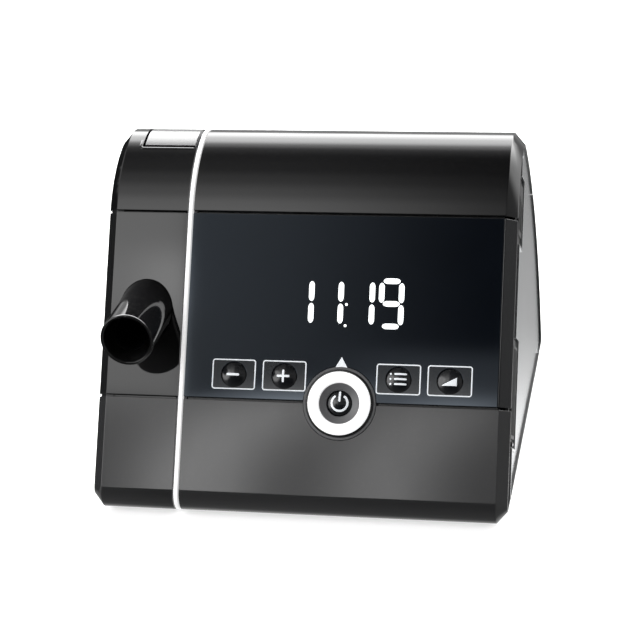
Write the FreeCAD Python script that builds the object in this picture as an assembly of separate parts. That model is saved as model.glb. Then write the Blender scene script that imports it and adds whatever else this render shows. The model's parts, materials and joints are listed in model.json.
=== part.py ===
import FreeCAD, Part
import math
import os

from FreeCAD import Placement, Rotation, Vector

# Bedside CPAP machine: a rounded wedge lying on its flat side, millimetres.
# X runs to the right, Y to the back and Z up. The feet stand on z = 0, and the origin
# is under the middle of the body. The left end is the outlet column, the rest is the main bay.

# ---------------------------------------------------------------- body profile
BODY_WIDTH = 171.8
FEET_HEIGHT = 1.5
PANEL_LEAN = 30.0           # the front panel leans back from vertical, degrees
PANEL_LENGTH = 128.0        # flat part of the panel, from the sharp bottom corner
SHOULDER_RADIUS = 50.6
SHOULDER_TURN = 44.2
CROWN_RADIUS = 20.0
CROWN_TURN = 56.2
BACK_RADIUS = 217.2
NOSE_RADIUS = 8.0
HEEL_RADIUS = 7.5
BEVEL_WIDTH = 4.4           # end bevels, measured along X
BEVEL_DEPTH = 5.0           # end bevels, measured into the profile

# ---------------------------------------------------------------- casing
COVER_WALL = 2.5
LIP_CLEAR = 0.4             # between a cover and the lip that backs its seam
SEAT_CLEAR = 0.1            # between curved faces of pieces that stay together
SLIDE_CLEAR = 0.3           # round pieces that move or lift out
SEAM_GAP = 1.0              # shadow seams across the front
REAR_SEAM_GAP = 0.6
LOW_SEAM = 51.6             # seam between lower cover and window, along the panel
HIGH_SEAM_RISE = 1.0        # the upper seam lies this far above the panel's flat part
REAR_SEAM_DROP = 27.6       # the rear seam lies this far below the lid's hinge
LIP_REACH = 4.0             # the frame's lips reach this far under the covers
FRAME_WALL = 2.1            # plate behind the window
RIM_WIDTH = 5.0             # end rims, along X
RIM_DEPTH = 9.0             # end rims, into the profile
RIM_FRONT = 17.5            # end rims, behind the front panel
LOW_COVER_DEPTH = 18.0      # the lower covers reach this far behind the panel
HEEL_REACH = 20.0           # the rear covers reach this far under the body
STRIP_INSET = 35.2          # the trim strip stands this far in from the left end
STRIP_WIDTH = 1.7
STRIP_GAP = 0.45
STRIP_WALL = 3.0

# ---------------------------------------------------------------- side covers
SIDE_WALL = 2.4
SIDE_SINK = 0.9             # the right cover's face lies this far inside the end
SIDE_LIP = 1.2              # width of the flush lip round its front edge
SIDE_LAND = 0.8             # flat black land round the side covers
SIDE_FRONT = 16.0           # front edge of the side covers, behind the panel
NOTCH_DEPTH = 13.0
LOW_NOTCH = (-14.7, 30.3)   # ends of the lower notch, from the lower seam
HIGH_NOTCH = (-8.5, 20.0)  # ends of the upper notch, from the upper seam
CLIP_RADIUS = 2.0
CLIP_LENGTH = 5.0
CLIP_FLOOR_Z = 14.0
CLIP_FRONT = 43.2           # behind the nose
CLIP_REAR = 23.3            # before the heel
CLIP_TOP_STEPS = ((0.9, -31.6), (-22.5, -22.5))     # from the lid's hinge
GRIP_SINK = 1.2             # the grips' shoulders lie this far inside the end
GRIP_PAD_SINK = 0.2
GRIP_PAD_FRONT = 10.0       # the raised pads, behind the front panel
GRIP_PAD_REAR = 4.5         # before the notches' rear edge
GRIP_PAD_END = 3.6          # from the notches' ends
PEG_RADIUS = 1.2            # peg at the lower grip's foot
PEG_STEP = 1.6              # from the lower notch's end
PEG_DEPTH = 20.5            # behind the front panel

# ---------------------------------------------------------------- chassis
CHASSIS_FLOOR = 2.5
BULKHEAD_WALL = 1.6
DIVIDER_WALL = 4.4
STANDOFF_RADIUS = 3.0
SCREW_RADIUS = 1.2
SCREW_HEAD_RADIUS = 2.6
SCREW_HEAD_HEIGHT = 1.6
SCREW_LENGTH = 7.0
FOOT_RADIUS = 7.0
FOOT_INSET = 19.0           # feet and case screws, in from the ends
FOOT_FRONT = 33.2           # behind the nose
FOOT_REAR = 29.3            # before the heel
CASE_SCREW_STEP = 20.0      # case screws, from the feet towards the middle

# ---------------------------------------------------------------- display and keys
WINDOW_INSET = 5.1          # the window ends this far before the right end
KEYS_SHIFT = 0.6            # the keys' middle lies this far right of the window's middle
DISPLAY_SHIFT = 6.1         # right of the window's middle
DISPLAY_DROP = 1.7          # below the middle between the key row and the upper seam
DISPLAY_SIZE = (56.0, 30.0)
KEY_RADIUS = 5.0
KEY_DOME = 1.5
KEY_FLANGE_RADIUS = 6.5
KEY_FLANGE = 1.1
KEY_TRAVEL = 0.8
KEY_ROW_RISE = 10.0         # above the lower seam
KEY_STEPS = {"key_minus": -44.5, "key_plus": -23.4, "key_menu": 23.7, "key_ramp": 44.6}
POWER_DROP = 0.2            # below the lower seam
RING_RADIUS = 13.9
RING_BORE = 8.4
RING_HEIGHT = 1.4
RING_SEAT = 0.4
POWER_HOLE_RADIUS = 15.0
POWER_TAB = 2.5             # the frame's tab reaches this far round the power key's hole
DISH_DEPTH = 1.4
BOARD_WALL = 1.6
BOARD_OVERHANG = 11.6       # the display board reaches this far below the lower seam
BOARD_TOP_GAP = 3.0         # and ends this far below the upper seam
MAT_WALL = 0.6
MAT_DOME_RADIUS = 3.0

# ---------------------------------------------------------------- outlet
TUBE_INSET = 19.3           # the tube's axis, in from the left end
TUBE_DROP = 41.82           # and down the panel from the upper seam
TUBE_RADIUS = 11.0
TUBE_BORE = 9.5
TUBE_AHEAD = 30.4           # length before the axis crosses the panel
TUBE_BEHIND = 17.6          # length behind that crossing
TUBE_REACH = 23.0           # free length that a hose connector slides over
TUBE_STEP = 0.3             # the tube is this much thicker behind its free length
TUBE_CHAMFER = 0.6
TUBE_COLLAR_RADIUS = 11.9
TUBE_COLLAR = 2.0
DUCT_RADIUS = 10.0
DUCT_WALL = 1.5
DUCT_BEND = 14.0
DUCT_LAP = 6.0              # the duct reaches this far into the tube and over the spigot
SENSOR_SIZE = (9.0, 14.0, 5.0)

# ---------------------------------------------------------------- filter bay
LID_INSET = 12.0            # the lid's left edge, in from the left end
LID_LENGTH = 29.5           # from the hinge to the lid's front edge
LID_GAP = 1.0
LID_HINGE_ANGLE = 47.0      # direction of the outward normal at the hinge, degrees
HINGE_RADIUS = 2.2
HINGE_PIN_RADIUS = 0.9
PIN_CLEAR = 0.05
HINGE_LUG = 3.4
LUG_FOOT = 6.6              # the lugs' feet run this far behind the hinge
LID_SLOTS = 5
LID_SLOT_WIDTH = 1.2
LID_SLOT_PITCH = 2.6
TRAY_WALL = 1.2
TRAY_FRONT_GAP = 1.3        # behind the lid's front edge
TRAY_REAR_GAP = 8.1         # before the hinge
TRAY_DROP = 19.6            # the tray's floor, below the hinge
TRAY_LEDGE = 3.0
FINE_FILTER = 2.0
COARSE_FILTER = 6.0

# ---------------------------------------------------------------- blower
BLOWER_OFFSET = 37.7        # the shaft, right of the divider
MOUNT_HEIGHT = 6.0
MOUNT_RADIUS = 4.0
MOUNT_CIRCLE = 24.0
BLOWER_MOUNTS = 3
BLOWER_RADIUS = 32.0
BLOWER_WALL = 2.0
MOTOR_RADIUS = 14.0
MOTOR_HEIGHT = 13.0
SHAFT_RADIUS = 2.0
BEARING_RADIUS = 5.0
BEARING_WIDTH = 3.0
FAN_CHAMBER = 12.0
IMPELLER_RADIUS = 25.0
IMPELLER_DISC = 1.5
BLADE_HEIGHT = 7.5
BLADE_WALL = 1.2
BLADES = 11
BLADE_SWEEP = 24.0
BLOWER_RIBS = 6
HUB_RADIUS = 5.0
EYE_RADIUS = 12.0
EYE_COLLAR = 7.0
SPIGOT_WALL = 1.3
SPIGOT_SHIFT = 20.0         # the spigot's axis lies this far off the shaft
SPIGOT_END_GAP = 0.7        # the spigot ends this far before the divider

# ---------------------------------------------------------------- silencer
SILENCER_WIDTH = 80.0
SILENCER_DEPTH = 56.0
SILENCER_HEIGHT = 26.0
SILENCER_WALL = 1.8
SILENCER_BACK_GAP = 7.0     # between the silencer and the rear cover
EYE_EDGE = 4.0              # between the blower's eye and the silencer's rear face
PORT_STEPS = (6.0, 28.0)    # ends of the air inlet's window, behind the silencer's front

# ---------------------------------------------------------------- electronics
STANDOFF_HEIGHT = 5.0
MAIN_BOARD_LEFT = 5.9       # from the bay's left edge
MAIN_BOARD_RIGHT = 11.0     # from the right end
MAIN_BOARD_FRONT = 35.2     # from the nose
BOARD_SPACE = 4.0           # between the two boards
POWER_BOARD_SIZE = (38.0, 62.0)
POWER_BOARD_RIGHT = 8.0     # from the right end
BOARD_SCREW_INSET = 4.0
# Chips as shares of the main board's width and depth, then width, depth and height.
MAIN_CHIPS = ((0.12, 0.27, 14.0, 14.0, 1.6), (0.41, 0.5, 10.0, 10.0, 1.4),
              (0.66, 0.33, 20.0, 9.0, 6.0), (0.88, 0.66, 9.0, 14.0, 7.0),
              (0.18, 0.77, 18.0, 7.0, 6.5))
# Pieces on the power board, from its left front corner.
TRANSFORMER_SPOT = (8.0, 20.0)
TRANSFORMER_CORE = (12.0, 26.0, 20.0)
TRANSFORMER_COIL = (14.4, 13.0, 16.0)
HEAT_SINK_SPOT = (28.0, 28.0)
HEAT_SINK_SIZE = (10.0, 40.0, 22.0)
HEAT_SINK_FINS = 4
HEAT_SINK_WEB = 1.4
CAPACITORS = ((8.0, 42.0), (17.0, 54.0))
CAPACITOR_RADIUS = 5.5
CAPACITOR_HEIGHT = 18.0
RIBBON_STEPS = (27.2, 46.2)     # edges of the flat cable, right of the divider
RIBBON_WALL = 0.4
SOCKET_DEPTH = 21.3         # the sockets reach this far before the heel
SOCKET_SINK = 1.0           # socket faces lie this far inside the back
SOCKET_FLANGE = 2.0
INLET_PLACE = (28.0, 23.0)  # in from the right end, and height
INLET_SIZE = (22.0, 14.0)
INLET_MOUTH = (16.0, 8.0)
INLET_MOUTH_DEPTH = 12.0
INLET_PIN_RADIUS = 1.2
INLET_PIN_SPREAD = 8.6
DATA_PLACE = (67.0, 22.0)
DATA_SIZE = (16.0, 13.0)
DATA_MOUTH = (11.5, 7.5)
REAR_VENTS = 7
REAR_VENT_SIZE = (34.0, 1.8)
REAR_VENT_PITCH = 4.2
REAR_VENT_INSET = 43.0      # in from the right end
REAR_VENT_DROP = 34.0       # below the rear seam
CARD_BEHIND = 28.0          # behind the duct's bend
CARD_Z = 40.0
CARD_SIZE = (32.0, 24.0, 2.1)
CARD_SCOOP_RADIUS = 9.0     # finger scoop over the card's edge
CARD_SCOOP_DEPTH = 1.2
READER_WALL = 1.4

# ---------------------------------------------------------------- derived sizes
HALF = BODY_WIDTH / 2
BASE = FEET_HEIGHT
RIM_X = HALF - RIM_WIDTH
BULKHEAD_IN = RIM_X - BULKHEAD_WALL
FRONT_ANGLE = 180.0 - PANEL_LEAN
SHOULDER_ANGLE = FRONT_ANGLE - SHOULDER_TURN
CROWN_ANGLE = SHOULDER_ANGLE - CROWN_TURN
WINDOW_WALL = COVER_WALL + LIP_CLEAR
FRAME_BACK = WINDOW_WALL + FRAME_WALL
BOARD_DROP = FRAME_BACK + KEY_FLANGE + KEY_TRAVEL + LIP_CLEAR + MAT_WALL
STRIP_LEFT = STRIP_INSET - HALF
STRIP_RIGHT = STRIP_LEFT + STRIP_WIDTH
COLUMN_RIGHT = STRIP_LEFT - STRIP_GAP
BAY_LEFT = STRIP_RIGHT + STRIP_GAP
DIVIDER_MID = (STRIP_LEFT + STRIP_RIGHT) / 2
DIVIDER_LEFT = DIVIDER_MID - DIVIDER_WALL / 2
DIVIDER_RIGHT = DIVIDER_MID + DIVIDER_WALL / 2
LID_LEFT = LID_INSET - HALF
LID_RIGHT = COLUMN_RIGHT - LID_GAP
POCKET_INSET = BEVEL_DEPTH + SIDE_LAND
SIDE_INNER = HALF - SIDE_WALL
CHASSIS_Z = BASE + COVER_WALL
FLOOR_Z = CHASSIS_Z + CHASSIS_FLOOR
BOARD_Z = FLOOR_Z + STANDOFF_HEIGHT
HIGH_SEAM = PANEL_LENGTH + HIGH_SEAM_RISE
WINDOW_RIGHT = HALF - WINDOW_INSET
WINDOW_MID = (BAY_LEFT + WINDOW_RIGHT) / 2
KEY_ROW = LOW_SEAM + KEY_ROW_RISE
KEYS_MID = WINDOW_MID + KEYS_SHIFT
KEY_SPOTS = {name: KEYS_MID + step for name, step in KEY_STEPS.items()}
POWER_CENTRE = (KEYS_MID, LOW_SEAM - POWER_DROP)
DISPLAY_CENTRE = (WINDOW_MID + DISPLAY_SHIFT, (KEY_ROW + HIGH_SEAM) / 2 - DISPLAY_DROP)
BOARD_LOW = LOW_SEAM - BOARD_OVERHANG
BOARD_HIGH = HIGH_SEAM - BOARD_TOP_GAP
NOTCHES = ((LOW_SEAM + LOW_NOTCH[0], LOW_SEAM + LOW_NOTCH[1]),
           (HIGH_SEAM + HIGH_NOTCH[0], HIGH_SEAM + HIGH_NOTCH[1]))
DUCT_BORE = DUCT_RADIUS - DUCT_WALL
BLOWER_X = DIVIDER_RIGHT + BLOWER_OFFSET
BLOWER_Z = FLOOR_Z + MOUNT_HEIGHT
CHAMBER_Z = BLOWER_Z + BLOWER_WALL + MOTOR_HEIGHT + BEARING_WIDTH
CHAMBER_TOP = CHAMBER_Z + FAN_CHAMBER
EYE_TOP = CHAMBER_TOP + BLOWER_WALL + EYE_COLLAR
SPIGOT_RADIUS = DUCT_BORE - SEAT_CLEAR
SPIGOT_END_X = DIVIDER_RIGHT + SPIGOT_END_GAP
SPIGOT_Z = CHAMBER_Z + SPIGOT_RADIUS
SILENCER_RIGHT = DIVIDER_RIGHT + SILENCER_WIDTH
SILENCER_TOP = EYE_TOP + SILENCER_HEIGHT
INLET_SPOT = (HALF - INLET_PLACE[0], INLET_PLACE[1])
DATA_SPOT = (HALF - DATA_PLACE[0], DATA_PLACE[1])
REAR_VENT_X = HALF - REAR_VENT_INSET
FAR = 400.0                 # larger than the whole body, for half-space cuts


# ---------------------------------------------------------------- profile geometry
def from_centre(centre, radius, angle):
    turn = math.radians(angle)
    return (centre[0] + radius * math.cos(turn), centre[1] + radius * math.sin(turn))


def arc_centres():
    """Centres of the nose, shoulder, crown, back and heel arcs, with the sharp nose at y = 0."""
    lean = math.radians(PANEL_LEAN)
    panel_end = (PANEL_LENGTH * math.sin(lean), BASE + PANEL_LENGTH * math.cos(lean))
    shoulder = from_centre(panel_end, -SHOULDER_RADIUS, FRONT_ANGLE)
    crown = from_centre(shoulder, SHOULDER_RADIUS - CROWN_RADIUS, SHOULDER_ANGLE)
    back = from_centre(crown, CROWN_RADIUS - BACK_RADIUS, CROWN_ANGLE)
    nose = (NOSE_RADIUS * (1 + math.sin(lean)) / math.cos(lean), BASE + NOSE_RADIUS)
    drop = BASE + HEEL_RADIUS - back[1]
    reach = BACK_RADIUS - HEEL_RADIUS
    heel = (back[0] + math.sqrt(reach ** 2 - drop ** 2), BASE + HEEL_RADIUS)
    return nose, shoulder, crown, back, heel


def shift(point, offset):
    return (point[0] + offset, point[1])


RAW_CENTRES = arc_centres()
NOSE_Y = -(RAW_CENTRES[0][0] - NOSE_RADIUS + RAW_CENTRES[4][0] + HEEL_RADIUS) / 2
NOSE_C, SHOULDER_C, CROWN_C, BACK_C, HEEL_C = (shift(point, NOSE_Y) for point in RAW_CENTRES)
HEEL_ANGLE = math.degrees(math.atan2(HEEL_C[1] - BACK_C[1], HEEL_C[0] - BACK_C[0]))
HEEL_Y = HEEL_C[0] + HEEL_RADIUS


def back_y(z, inset=0.0):
    """Where the back's curve stands at height z, inset from the outer face."""
    radius = BACK_RADIUS - inset
    return BACK_C[0] + math.sqrt(radius ** 2 - (z - BACK_C[1]) ** 2)


HINGE_Y, HINGE_Z = from_centre(BACK_C, BACK_RADIUS - HINGE_RADIUS, LID_HINGE_ANGLE)
REAR_SEAM_Z = HINGE_Z - REAR_SEAM_DROP
REAR_VENT_Z = REAR_SEAM_Z - REAR_VENT_DROP
LID_FRONT_Y = HINGE_Y - LID_LENGTH
TRAY_FRONT_Y = LID_FRONT_Y + TRAY_FRONT_GAP
TRAY_REAR_Y = HINGE_Y - TRAY_REAR_GAP
TRAY_BOTTOM_Z = HINGE_Z - TRAY_DROP
SILENCER_REAR_Y = back_y(SILENCER_TOP, COVER_WALL) - SILENCER_BACK_GAP
SILENCER_FRONT_Y = SILENCER_REAR_Y - SILENCER_DEPTH
SILENCER_PORT = (SILENCER_FRONT_Y + PORT_STEPS[0], SILENCER_FRONT_Y + PORT_STEPS[1])
BLOWER_Y = SILENCER_REAR_Y - EYE_EDGE - EYE_RADIUS
SPIGOT_Y = BLOWER_Y - SPIGOT_SHIFT
SOCKET_BACK_Y = HEEL_Y - SOCKET_DEPTH
CARD_SPOT = (SPIGOT_Y + CARD_BEHIND, CARD_Z)
POWER_LEFT = HALF - POWER_BOARD_RIGHT - POWER_BOARD_SIZE[0]
POWER_FRONT = SOCKET_BACK_Y - SOCKET_FLANGE - POWER_BOARD_SIZE[1]
POWER_BOARD = (POWER_LEFT, HALF - POWER_BOARD_RIGHT, POWER_FRONT, SOCKET_BACK_Y - SOCKET_FLANGE)
MAIN_BOARD = (BAY_LEFT + MAIN_BOARD_LEFT, HALF - MAIN_BOARD_RIGHT,
              NOSE_Y + MAIN_BOARD_FRONT, POWER_FRONT - BOARD_SPACE)
FOOT_X = HALF - FOOT_INSET
FOOT_ROWS = (NOSE_Y + FOOT_FRONT, HEEL_Y - FOOT_REAR)
SCREW_ROWS = (FOOT_ROWS[0] + CASE_SCREW_STEP, FOOT_ROWS[1] - CASE_SCREW_STEP)
FOOT_SPOTS = [(x, y) for y in FOOT_ROWS for x in (-FOOT_X, FOOT_X)]
CASE_SCREW_SPOTS = [(x, y) for y in SCREW_ROWS for x in (-FOOT_X, FOOT_X)]
CLIP_SPOTS = [(NOSE_Y + CLIP_FRONT, CLIP_FLOOR_Z), (HEEL_Y - CLIP_REAR, CLIP_FLOOR_Z)]
CLIP_SPOTS += [(HINGE_Y + step_y, HINGE_Z + step_z) for step_y, step_z in CLIP_TOP_STEPS]


def arc_edge(x, centre, radius, start, end):
    ends = [from_centre(centre, radius, angle) for angle in (start, (start + end) / 2, end)]
    return Part.Arc(*[Vector(x, y, z) for y, z in ends]).toShape()


def profile_wire(x, inset):
    """Closed outline of the body at x, every face moved in by the inset."""
    floor = BASE + inset
    if inset < HEEL_RADIUS:
        back_end = HEEL_ANGLE
        heel = [arc_edge(x, HEEL_C, HEEL_RADIUS - inset, HEEL_ANGLE, -90.0)]
        heel_point = (HEEL_C[0], floor)
    else:
        back_end = math.degrees(math.asin((floor - BACK_C[1]) / (BACK_RADIUS - inset)))
        heel = []
        heel_point = from_centre(BACK_C, BACK_RADIUS - inset, back_end)
    if inset < NOSE_RADIUS:
        nose = [arc_edge(x, NOSE_C, NOSE_RADIUS - inset, -90.0, FRONT_ANGLE - 360.0)]
        nose_point = (NOSE_C[0], floor)
        panel_point = from_centre(NOSE_C, NOSE_RADIUS - inset, FRONT_ANGLE)
    else:
        lean = math.radians(PANEL_LEAN)
        nose = []
        nose_point = (NOSE_Y + inset * (1 + math.sin(lean)) / math.cos(lean), floor)
        panel_point = nose_point
    panel_end = from_centre(SHOULDER_C, SHOULDER_RADIUS - inset, FRONT_ANGLE)
    edges = [Part.LineSegment(Vector(x, *panel_point), Vector(x, *panel_end)).toShape()]
    edges.append(arc_edge(x, SHOULDER_C, SHOULDER_RADIUS - inset, FRONT_ANGLE, SHOULDER_ANGLE))
    edges.append(arc_edge(x, CROWN_C, CROWN_RADIUS - inset, SHOULDER_ANGLE, CROWN_ANGLE))
    edges.append(arc_edge(x, BACK_C, BACK_RADIUS - inset, CROWN_ANGLE, back_end))
    edges += heel
    edges.append(Part.LineSegment(Vector(x, *heel_point), Vector(x, *nose_point)).toShape())
    return Part.Wire(edges + nose)


def prism(inset, x0, x1):
    return Part.Face(profile_wire(x0, inset)).extrude(Vector(x1 - x0, 0, 0))


# ---------------------------------------------------------------- small solids
def box(x0, x1, y0, y1, z0, z1):
    return Part.makeBox(x1 - x0, y1 - y0, z1 - z0, Vector(x0, y0, z0))


def block(centre_x, centre_y, floor_z, width, depth, height):
    return box(centre_x - width / 2, centre_x + width / 2, centre_y - depth / 2,
               centre_y + depth / 2, floor_z, floor_z + height)


def disc(x, y, z0, z1, radius):
    return Part.makeCylinder(radius, z1 - z0, Vector(x, y, z0))


def rod_x(x0, x1, y, z, radius):
    return Part.makeCylinder(radius, x1 - x0, Vector(x0, y, z), Vector(1, 0, 0))


def rod_y(x, y0, y1, z, radius):
    return Part.makeCylinder(radius, y1 - y0, Vector(x, y0, z), Vector(0, 1, 0))


def on_panel(shape):
    """Moves a shape drawn as (x, distance up the panel, height over it) onto the front panel."""
    shape.Placement = Placement(Vector(0, NOSE_Y, BASE), Rotation(Vector(1, 0, 0), FRONT_ANGLE - 90))
    return shape


def panel_box(x0, x1, s0, s1, h0, h1):
    return on_panel(box(x0, x1, s0, s1, h0, h1))


def panel_disc(x, s, h0, h1, radius):
    return on_panel(disc(x, s, h0, h1, radius))


def behind_panel(depth):
    return panel_box(-FAR, FAR, -FAR, FAR, -FAR, -depth)


def panel_point(s, h):
    """The y and z of a point s up the panel and h over it."""
    point = on_panel(Part.Vertex(0, s, h)).Point
    return point.y, point.z


TUBE_X = TUBE_INSET - HALF
TUBE_CROSS_Y, TUBE_Z = panel_point(HIGH_SEAM - TUBE_DROP, 0)
TUBE_FRONT_Y = TUBE_CROSS_Y - TUBE_AHEAD
TUBE_REAR_Y = TUBE_CROSS_Y + TUBE_BEHIND


# ---------------------------------------------------------------- casing regions
def envelope():
    """The whole outer form, with its bevelled ends."""
    shoulder_x = HALF - BEVEL_WIDTH
    body = prism(0, -shoulder_x, shoulder_x)
    for side in (-1, 1):
        wires = [profile_wire(side * shoulder_x, 0), profile_wire(side * HALF, BEVEL_DEPTH)]
        body = body.fuse(Part.makeLoft(wires, True, True))
    return body.removeSplitter()


def side_outline(inset, front, x0, x1):
    """A slice of the profile, inset all round and cut back behind the front panel."""
    return prism(inset, min(x0, x1), max(x0, x1)).common(behind_panel(front))


def casing():
    """Skin and end rims in one piece, before the seams divide it."""
    skin = envelope().cut(prism(COVER_WALL, -RIM_X, RIM_X))
    skin = skin.cut(side_outline(RIM_DEPTH, RIM_FRONT, -FAR, FAR))
    skin = skin.cut(side_outline(POCKET_INSET, SIDE_FRONT, -SIDE_INNER, -FAR))
    return skin.cut(side_outline(POCKET_INSET, POCKET_INSET, SIDE_INNER, FAR))


def low_region():
    return panel_box(-FAR, FAR, -FAR, LOW_SEAM - SEAM_GAP / 2, -LOW_COVER_DEPTH, FAR)


def band_region():
    return panel_box(-FAR, FAR, LOW_SEAM + SEAM_GAP / 2, HIGH_SEAM - SEAM_GAP / 2, -LOW_COVER_DEPTH, FAR)


def top_region():
    above = panel_box(-FAR, FAR, HIGH_SEAM + SEAM_GAP / 2, FAR, -FAR, FAR)
    return above.common(box(-FAR, FAR, -FAR, FAR, REAR_SEAM_Z + REAR_SEAM_GAP / 2, FAR))


def base_region():
    under = box(-FAR, FAR, -FAR, HEEL_Y - HEEL_REACH - REAR_SEAM_GAP / 2, -FAR, BASE + RIM_DEPTH)
    return under.common(behind_panel(LOW_COVER_DEPTH + REAR_SEAM_GAP / 2))


def rear_region():
    below = box(-FAR, FAR, -FAR, FAR, -FAR, REAR_SEAM_Z - REAR_SEAM_GAP / 2)
    below = below.common(behind_panel(LOW_COVER_DEPTH + REAR_SEAM_GAP / 2))
    return below.cut(box(-FAR, FAR, -FAR, HEEL_Y - HEEL_REACH + REAR_SEAM_GAP / 2, -FAR, BASE + RIM_DEPTH))


def column_side():
    return box(-FAR, COLUMN_RIGHT, -FAR, FAR, -FAR, FAR)


def bay_side():
    return box(BAY_LEFT, FAR, -FAR, FAR, -FAR, FAR)


# ---------------------------------------------------------------- covers
def power_hole(h0, h1, radius):
    return panel_disc(POWER_CENTRE[0], POWER_CENTRE[1], h0, h1, radius)


def lower_cover(skin):
    cover = skin.common(low_region()).common(bay_side())
    return cover.cut(power_hole(-FRAME_BACK, COVER_WALL, POWER_HOLE_RADIUS))


def column_lower_cover(skin):
    return skin.common(low_region()).common(column_side())


def top_cover(skin):
    return skin.common(top_region()).common(bay_side())


def rear_opening(spot, size):
    """Straight opening along Y through the back, with sliding room round the piece in it."""
    width = size[0] + 2 * SEAT_CLEAR
    height = size[1] + 2 * SEAT_CLEAR
    return box(spot[0] - width / 2, spot[0] + width / 2, SOCKET_BACK_Y, FAR,
               spot[1] - height / 2, spot[1] + height / 2)


def rear_cover(skin):
    cover = skin.common(rear_region()).common(bay_side())
    cover = cover.cut(rear_opening(INLET_SPOT, INLET_SIZE)).cut(rear_opening(DATA_SPOT, DATA_SIZE))
    for row in range(REAR_VENTS):
        centre_z = REAR_VENT_Z + (row - (REAR_VENTS - 1) / 2) * REAR_VENT_PITCH
        slot = box(REAR_VENT_X - REAR_VENT_SIZE[0] / 2, REAR_VENT_X + REAR_VENT_SIZE[0] / 2, 0, FAR,
                   centre_z - REAR_VENT_SIZE[1] / 2, centre_z + REAR_VENT_SIZE[1] / 2)
        cover = cover.cut(slot)
    return cover


def column_rear_cover(skin):
    return skin.common(rear_region()).common(column_side())


def base_plate(skin):
    plate = skin.common(base_region())
    for x, y in CASE_SCREW_SPOTS:
        plate = plate.cut(disc(x, y, BASE - SEAT_CLEAR, CHASSIS_Z, SCREW_RADIUS + SEAT_CLEAR))
        plate = plate.cut(disc(x, y, BASE - SEAT_CLEAR, BASE + SCREW_HEAD_HEIGHT,
                               SCREW_HEAD_RADIUS + SEAT_CLEAR))
    return plate


def trim_strip():
    ring = prism(0, STRIP_LEFT, STRIP_RIGHT).cut(prism(STRIP_WALL, STRIP_LEFT, STRIP_RIGHT))
    return ring.cut(base_region())


def seam_plate(x0, x1, top):
    """Plate behind the window band, with lips that reach under the covers above and below."""
    low = LOW_SEAM - LIP_REACH
    high = HIGH_SEAM + LIP_REACH
    return panel_box(x0, x1, low, high, -FRAME_BACK, -top)


def display_opening(h0, h1):
    x, s = DISPLAY_CENTRE
    width, height = DISPLAY_SIZE
    return panel_box(x - width / 2, x + width / 2, s - height / 2, s + height / 2, h0, h1)


def key_centres():
    return [(x, KEY_ROW) for x in KEY_SPOTS.values()] + [POWER_CENTRE]


def board_post_spots():
    """Posts on the frame's back that carry the display board near its corners."""
    reach = STANDOFF_RADIUS + SLIDE_CLEAR
    rows = (LOW_SEAM + reach, BOARD_HIGH - reach)
    return [(x, s) for x in (DIVIDER_RIGHT + 2 * reach, BULKHEAD_IN - 2 * reach) for s in rows]


def display_frame(skin):
    frame = skin.common(band_region()).common(bay_side())
    frame = frame.cut(panel_box(-FAR, WINDOW_RIGHT + SEAT_CLEAR, -FAR, FAR, -WINDOW_WALL, FAR))
    plate = seam_plate(DIVIDER_RIGHT + SLIDE_CLEAR, RIM_X, WINDOW_WALL)
    tab = power_hole(-FRAME_BACK, -WINDOW_WALL, POWER_HOLE_RADIUS + POWER_TAB)
    frame = frame.fuse(plate).fuse(tab).cut(display_opening(-FRAME_BACK, 0))
    for x, s in key_centres():
        frame = frame.cut(panel_disc(x, s, -FRAME_BACK, 0, KEY_RADIUS + SLIDE_CLEAR))
    for x, s in board_post_spots():
        frame = frame.fuse(panel_disc(x, s, -BOARD_DROP, -FRAME_BACK, STANDOFF_RADIUS))
    return frame.removeSplitter()


def display_window():
    low = LOW_SEAM + SEAM_GAP / 2
    high = HIGH_SEAM - SEAM_GAP / 2
    window = panel_box(BAY_LEFT, WINDOW_RIGHT, low, high, -WINDOW_WALL, 0)
    window = window.cut(power_hole(-WINDOW_WALL, 0, POWER_HOLE_RADIUS))
    for x in KEY_SPOTS.values():
        window = window.cut(panel_disc(x, KEY_ROW, -WINDOW_WALL, 0, KEY_RADIUS + SLIDE_CLEAR))
    return window


def outlet_panel(skin):
    panel = skin.common(band_region()).common(column_side())
    low = LOW_SEAM + SEAM_GAP / 2
    high = HIGH_SEAM - SEAM_GAP / 2
    plate = seam_plate(-RIM_X, DIVIDER_LEFT - SLIDE_CLEAR, WINDOW_WALL)
    filler = panel_box(-RIM_X, DIVIDER_LEFT - SLIDE_CLEAR, low, high, -FRAME_BACK, -COVER_WALL)
    panel = panel.fuse(plate).fuse(filler)
    tube_hole = rod_y(TUBE_X, TUBE_FRONT_Y, FAR, TUBE_Z, TUBE_RADIUS + TUBE_STEP + SEAT_CLEAR)
    return panel.cut(tube_hole).removeSplitter()


# ---------------------------------------------------------------- side covers
def notched_outline(x0, x1, step=0.0):
    """Side cover outline with the two notches, its front edge moved back by the step."""
    plate = side_outline(POCKET_INSET + SLIDE_CLEAR, SIDE_FRONT + SLIDE_CLEAR + step, x0, x1)
    for low, high in NOTCHES:
        depth = SIDE_FRONT + NOTCH_DEPTH + step
        plate = plate.cut(panel_box(-FAR, FAR, low - step, high + step, -depth, FAR))
    return plate


def clips(side):
    rods = []
    for y, z in CLIP_SPOTS:
        ends = sorted((side * SIDE_INNER, side * (SIDE_INNER - CLIP_LENGTH)))
        rods.append(rod_x(ends[0], ends[1], y, z, CLIP_RADIUS))
    return rods


def side_cover_right():
    """Pull-off cover: a sunk face, with a flush lip along its front edge and round the notches."""
    face = HALF - SIDE_SINK
    lip = notched_outline(face, HALF).cut(notched_outline(face, HALF, SIDE_LIP))
    return notched_outline(SIDE_INNER, face).fuse([lip] + clips(1)).removeSplitter()


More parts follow.
